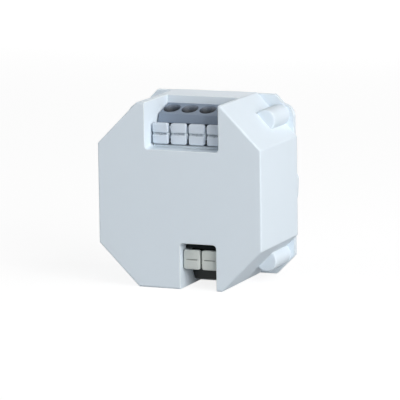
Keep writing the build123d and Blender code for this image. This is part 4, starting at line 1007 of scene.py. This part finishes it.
class MODULE_OT_stage(bpy.types.Operator):
    """Plain pale floor, soft lights and the camera at the photograph's angle"""
    bl_idname = "module.stage"
    bl_label = "Stage"

    def execute(self, context):
        s = context.scene.module_stage
        self.add_camera(context, s)
        self.add_floor(s)
        self.add_light(context, s)
        context.scene.view_settings.view_transform = "Standard"
        return {"FINISHED"}

    def add_camera(self, context, s):
        """Camera from its sines and cosines, aimed so that the front's middle is at its place in view."""
        sa, ca = math.sin(s.azimuth), math.cos(s.azimuth)
        se, ce = math.sin(s.elevation), math.cos(s.elevation)
        sr, cr = math.sin(s.roll), math.cos(s.roll)
        right, up = Vector((ca, sa, 0)), Vector((-sa * se, ca * se, ce))
        forward = Vector((-sa * ce, ca * ce, -se))
        right, up = cr * right + sr * up, cr * up - sr * right
        middle = Vector((0, CAD_LOW.y, (CAD_LOW.z + CAD_HIGH.z) / 2))
        data = bpy.data.cameras.new("camera")
        data.lens = s.lens
        data.sensor_width = 36
        data.clip_start = 0.05
        data.clip_end = 50
        camera = bpy.data.objects.new("camera", data)
        context.scene.collection.objects.link(camera)
        turn = Matrix((right, up, -forward)).transposed().to_4x4()
        place = middle - s.distance * forward - s.aside * right - s.above * up
        camera.matrix_world = Matrix.Translation(place) @ turn
        context.scene.camera = camera

    def add_floor(self, s):
        bpy.ops.object.select_all(action="DESELECT")
        bpy.ops.mesh.primitive_plane_add(size=FLOOR_WIDTH, location=(0, 0, CAD_LOW.z))
        floor = bpy.context.active_object
        floor.name = "floor"
        material, tree, shader, place = new_material("matt_paper", s.floor_colour, 0.9, ior=1.45)
        # Matt paper: its fine tooth is drawn as faint mottling.
        tooth = node(tree, "TexNoise", {"Vector": place, "Scale": 1 / (3 * MM), "Detail": 3.0})
        tint = node(tree, "Mix", {"Factor": tooth, "A": shade(s.floor_colour, 0.995),
                                  "B": shade(s.floor_colour, 1.005)}, data_type="RGBA")
        feed(tree, shader, {"Base Color": tint})
        dim = node(tree, "BsdfDiffuse", {"Color": (s.floor_shadow, s.floor_shadow, s.floor_shadow, 1)})
        glow = node(tree, "Emission", {"Color": (1, 1, 1, 1), "Strength": s.floor_glow})
        seen = node(tree, "AddShader", {0: dim, 1: glow})
        both = node(tree, "MixShader", {0: view_share(tree), 1: shader, 2: seen})
        feed(tree, tree.nodes["Material Output"], {"Surface": both})
        floor.data.materials.append(material)

    def add_light(self, context, s):
        middle = (CAD_LOW + CAD_HIGH) / 2
        for name, offset, width in LIGHTS:
            add_soft_light(f"{name}_light", middle + Vector(offset), middle, getattr(s, name), width)
        world = bpy.data.worlds.new("surroundings")
        world.use_nodes = True
        tree = world.node_tree
        tree.nodes.clear()
        light = node(tree, "Background", {"Color": (1, 1, 1, 1), "Strength": s.sky})
        backdrop = node(tree, "Background", {"Color": (1, 1, 1, 1), "Strength": 1.0})
        both = node(tree, "MixShader", {0: view_share(tree), 1: light, 2: backdrop})
        node(tree, "OutputWorld", {"Surface": both}, is_active_output=True)
        context.scene.world = world


class MODULE_PT_panel(bpy.types.Panel):
    """Buttons that build the dressed module step by step"""
    bl_label = "Switching module"
    bl_idname = "MODULE_PT_panel"
    bl_space_type = "VIEW_3D"
    bl_region_type = "UI"
    bl_category = "Module"

    def draw(self, context):
        scene = context.scene
        for step in STEPS:
            self.layout.operator(step)
        for group in [getattr(scene, name) for name in GROUPS]:
            box = self.layout.box()
            for name in group.__annotations__:
                box.prop(group, name)


STEPS = ("module.finishes", "module.terminal_blocks", "module.upper_buttons", "module.lower_buttons",
         "module.windings", "module.clamp_springs", "module.capacitors", "module.boards", "module.stage")
GROUPS = {"module_finish": FinishSettings, "module_terminals": TerminalSettings,
          "module_buttons": ButtonSettings, "module_inner": InnerSettings, "module_stage": StageSettings}
CLASSES = (*GROUPS.values(), MODULE_OT_finishes, MODULE_OT_terminal_blocks, MODULE_OT_upper_buttons,
           MODULE_OT_lower_buttons, MODULE_OT_windings, MODULE_OT_clamp_springs, MODULE_OT_capacitors,
           MODULE_OT_boards, MODULE_OT_stage, MODULE_PT_panel)


def register():
    for cls in CLASSES:
        bpy.utils.register_class(cls)
    for name, group in GROUPS.items():
        setattr(bpy.types.Scene, name, PointerProperty(type=group))


def unregister():
    for name in GROUPS:
        delattr(bpy.types.Scene, name)
    for cls in reversed(CLASSES):
        bpy.utils.unregister_class(cls)


def main():
    """Builds the dressed module step by step."""
    register()
    for step in STEPS:
        group, name = step.split(".")
        getattr(getattr(bpy.ops, group), name)()


if __name__ == "__main__":
    main()
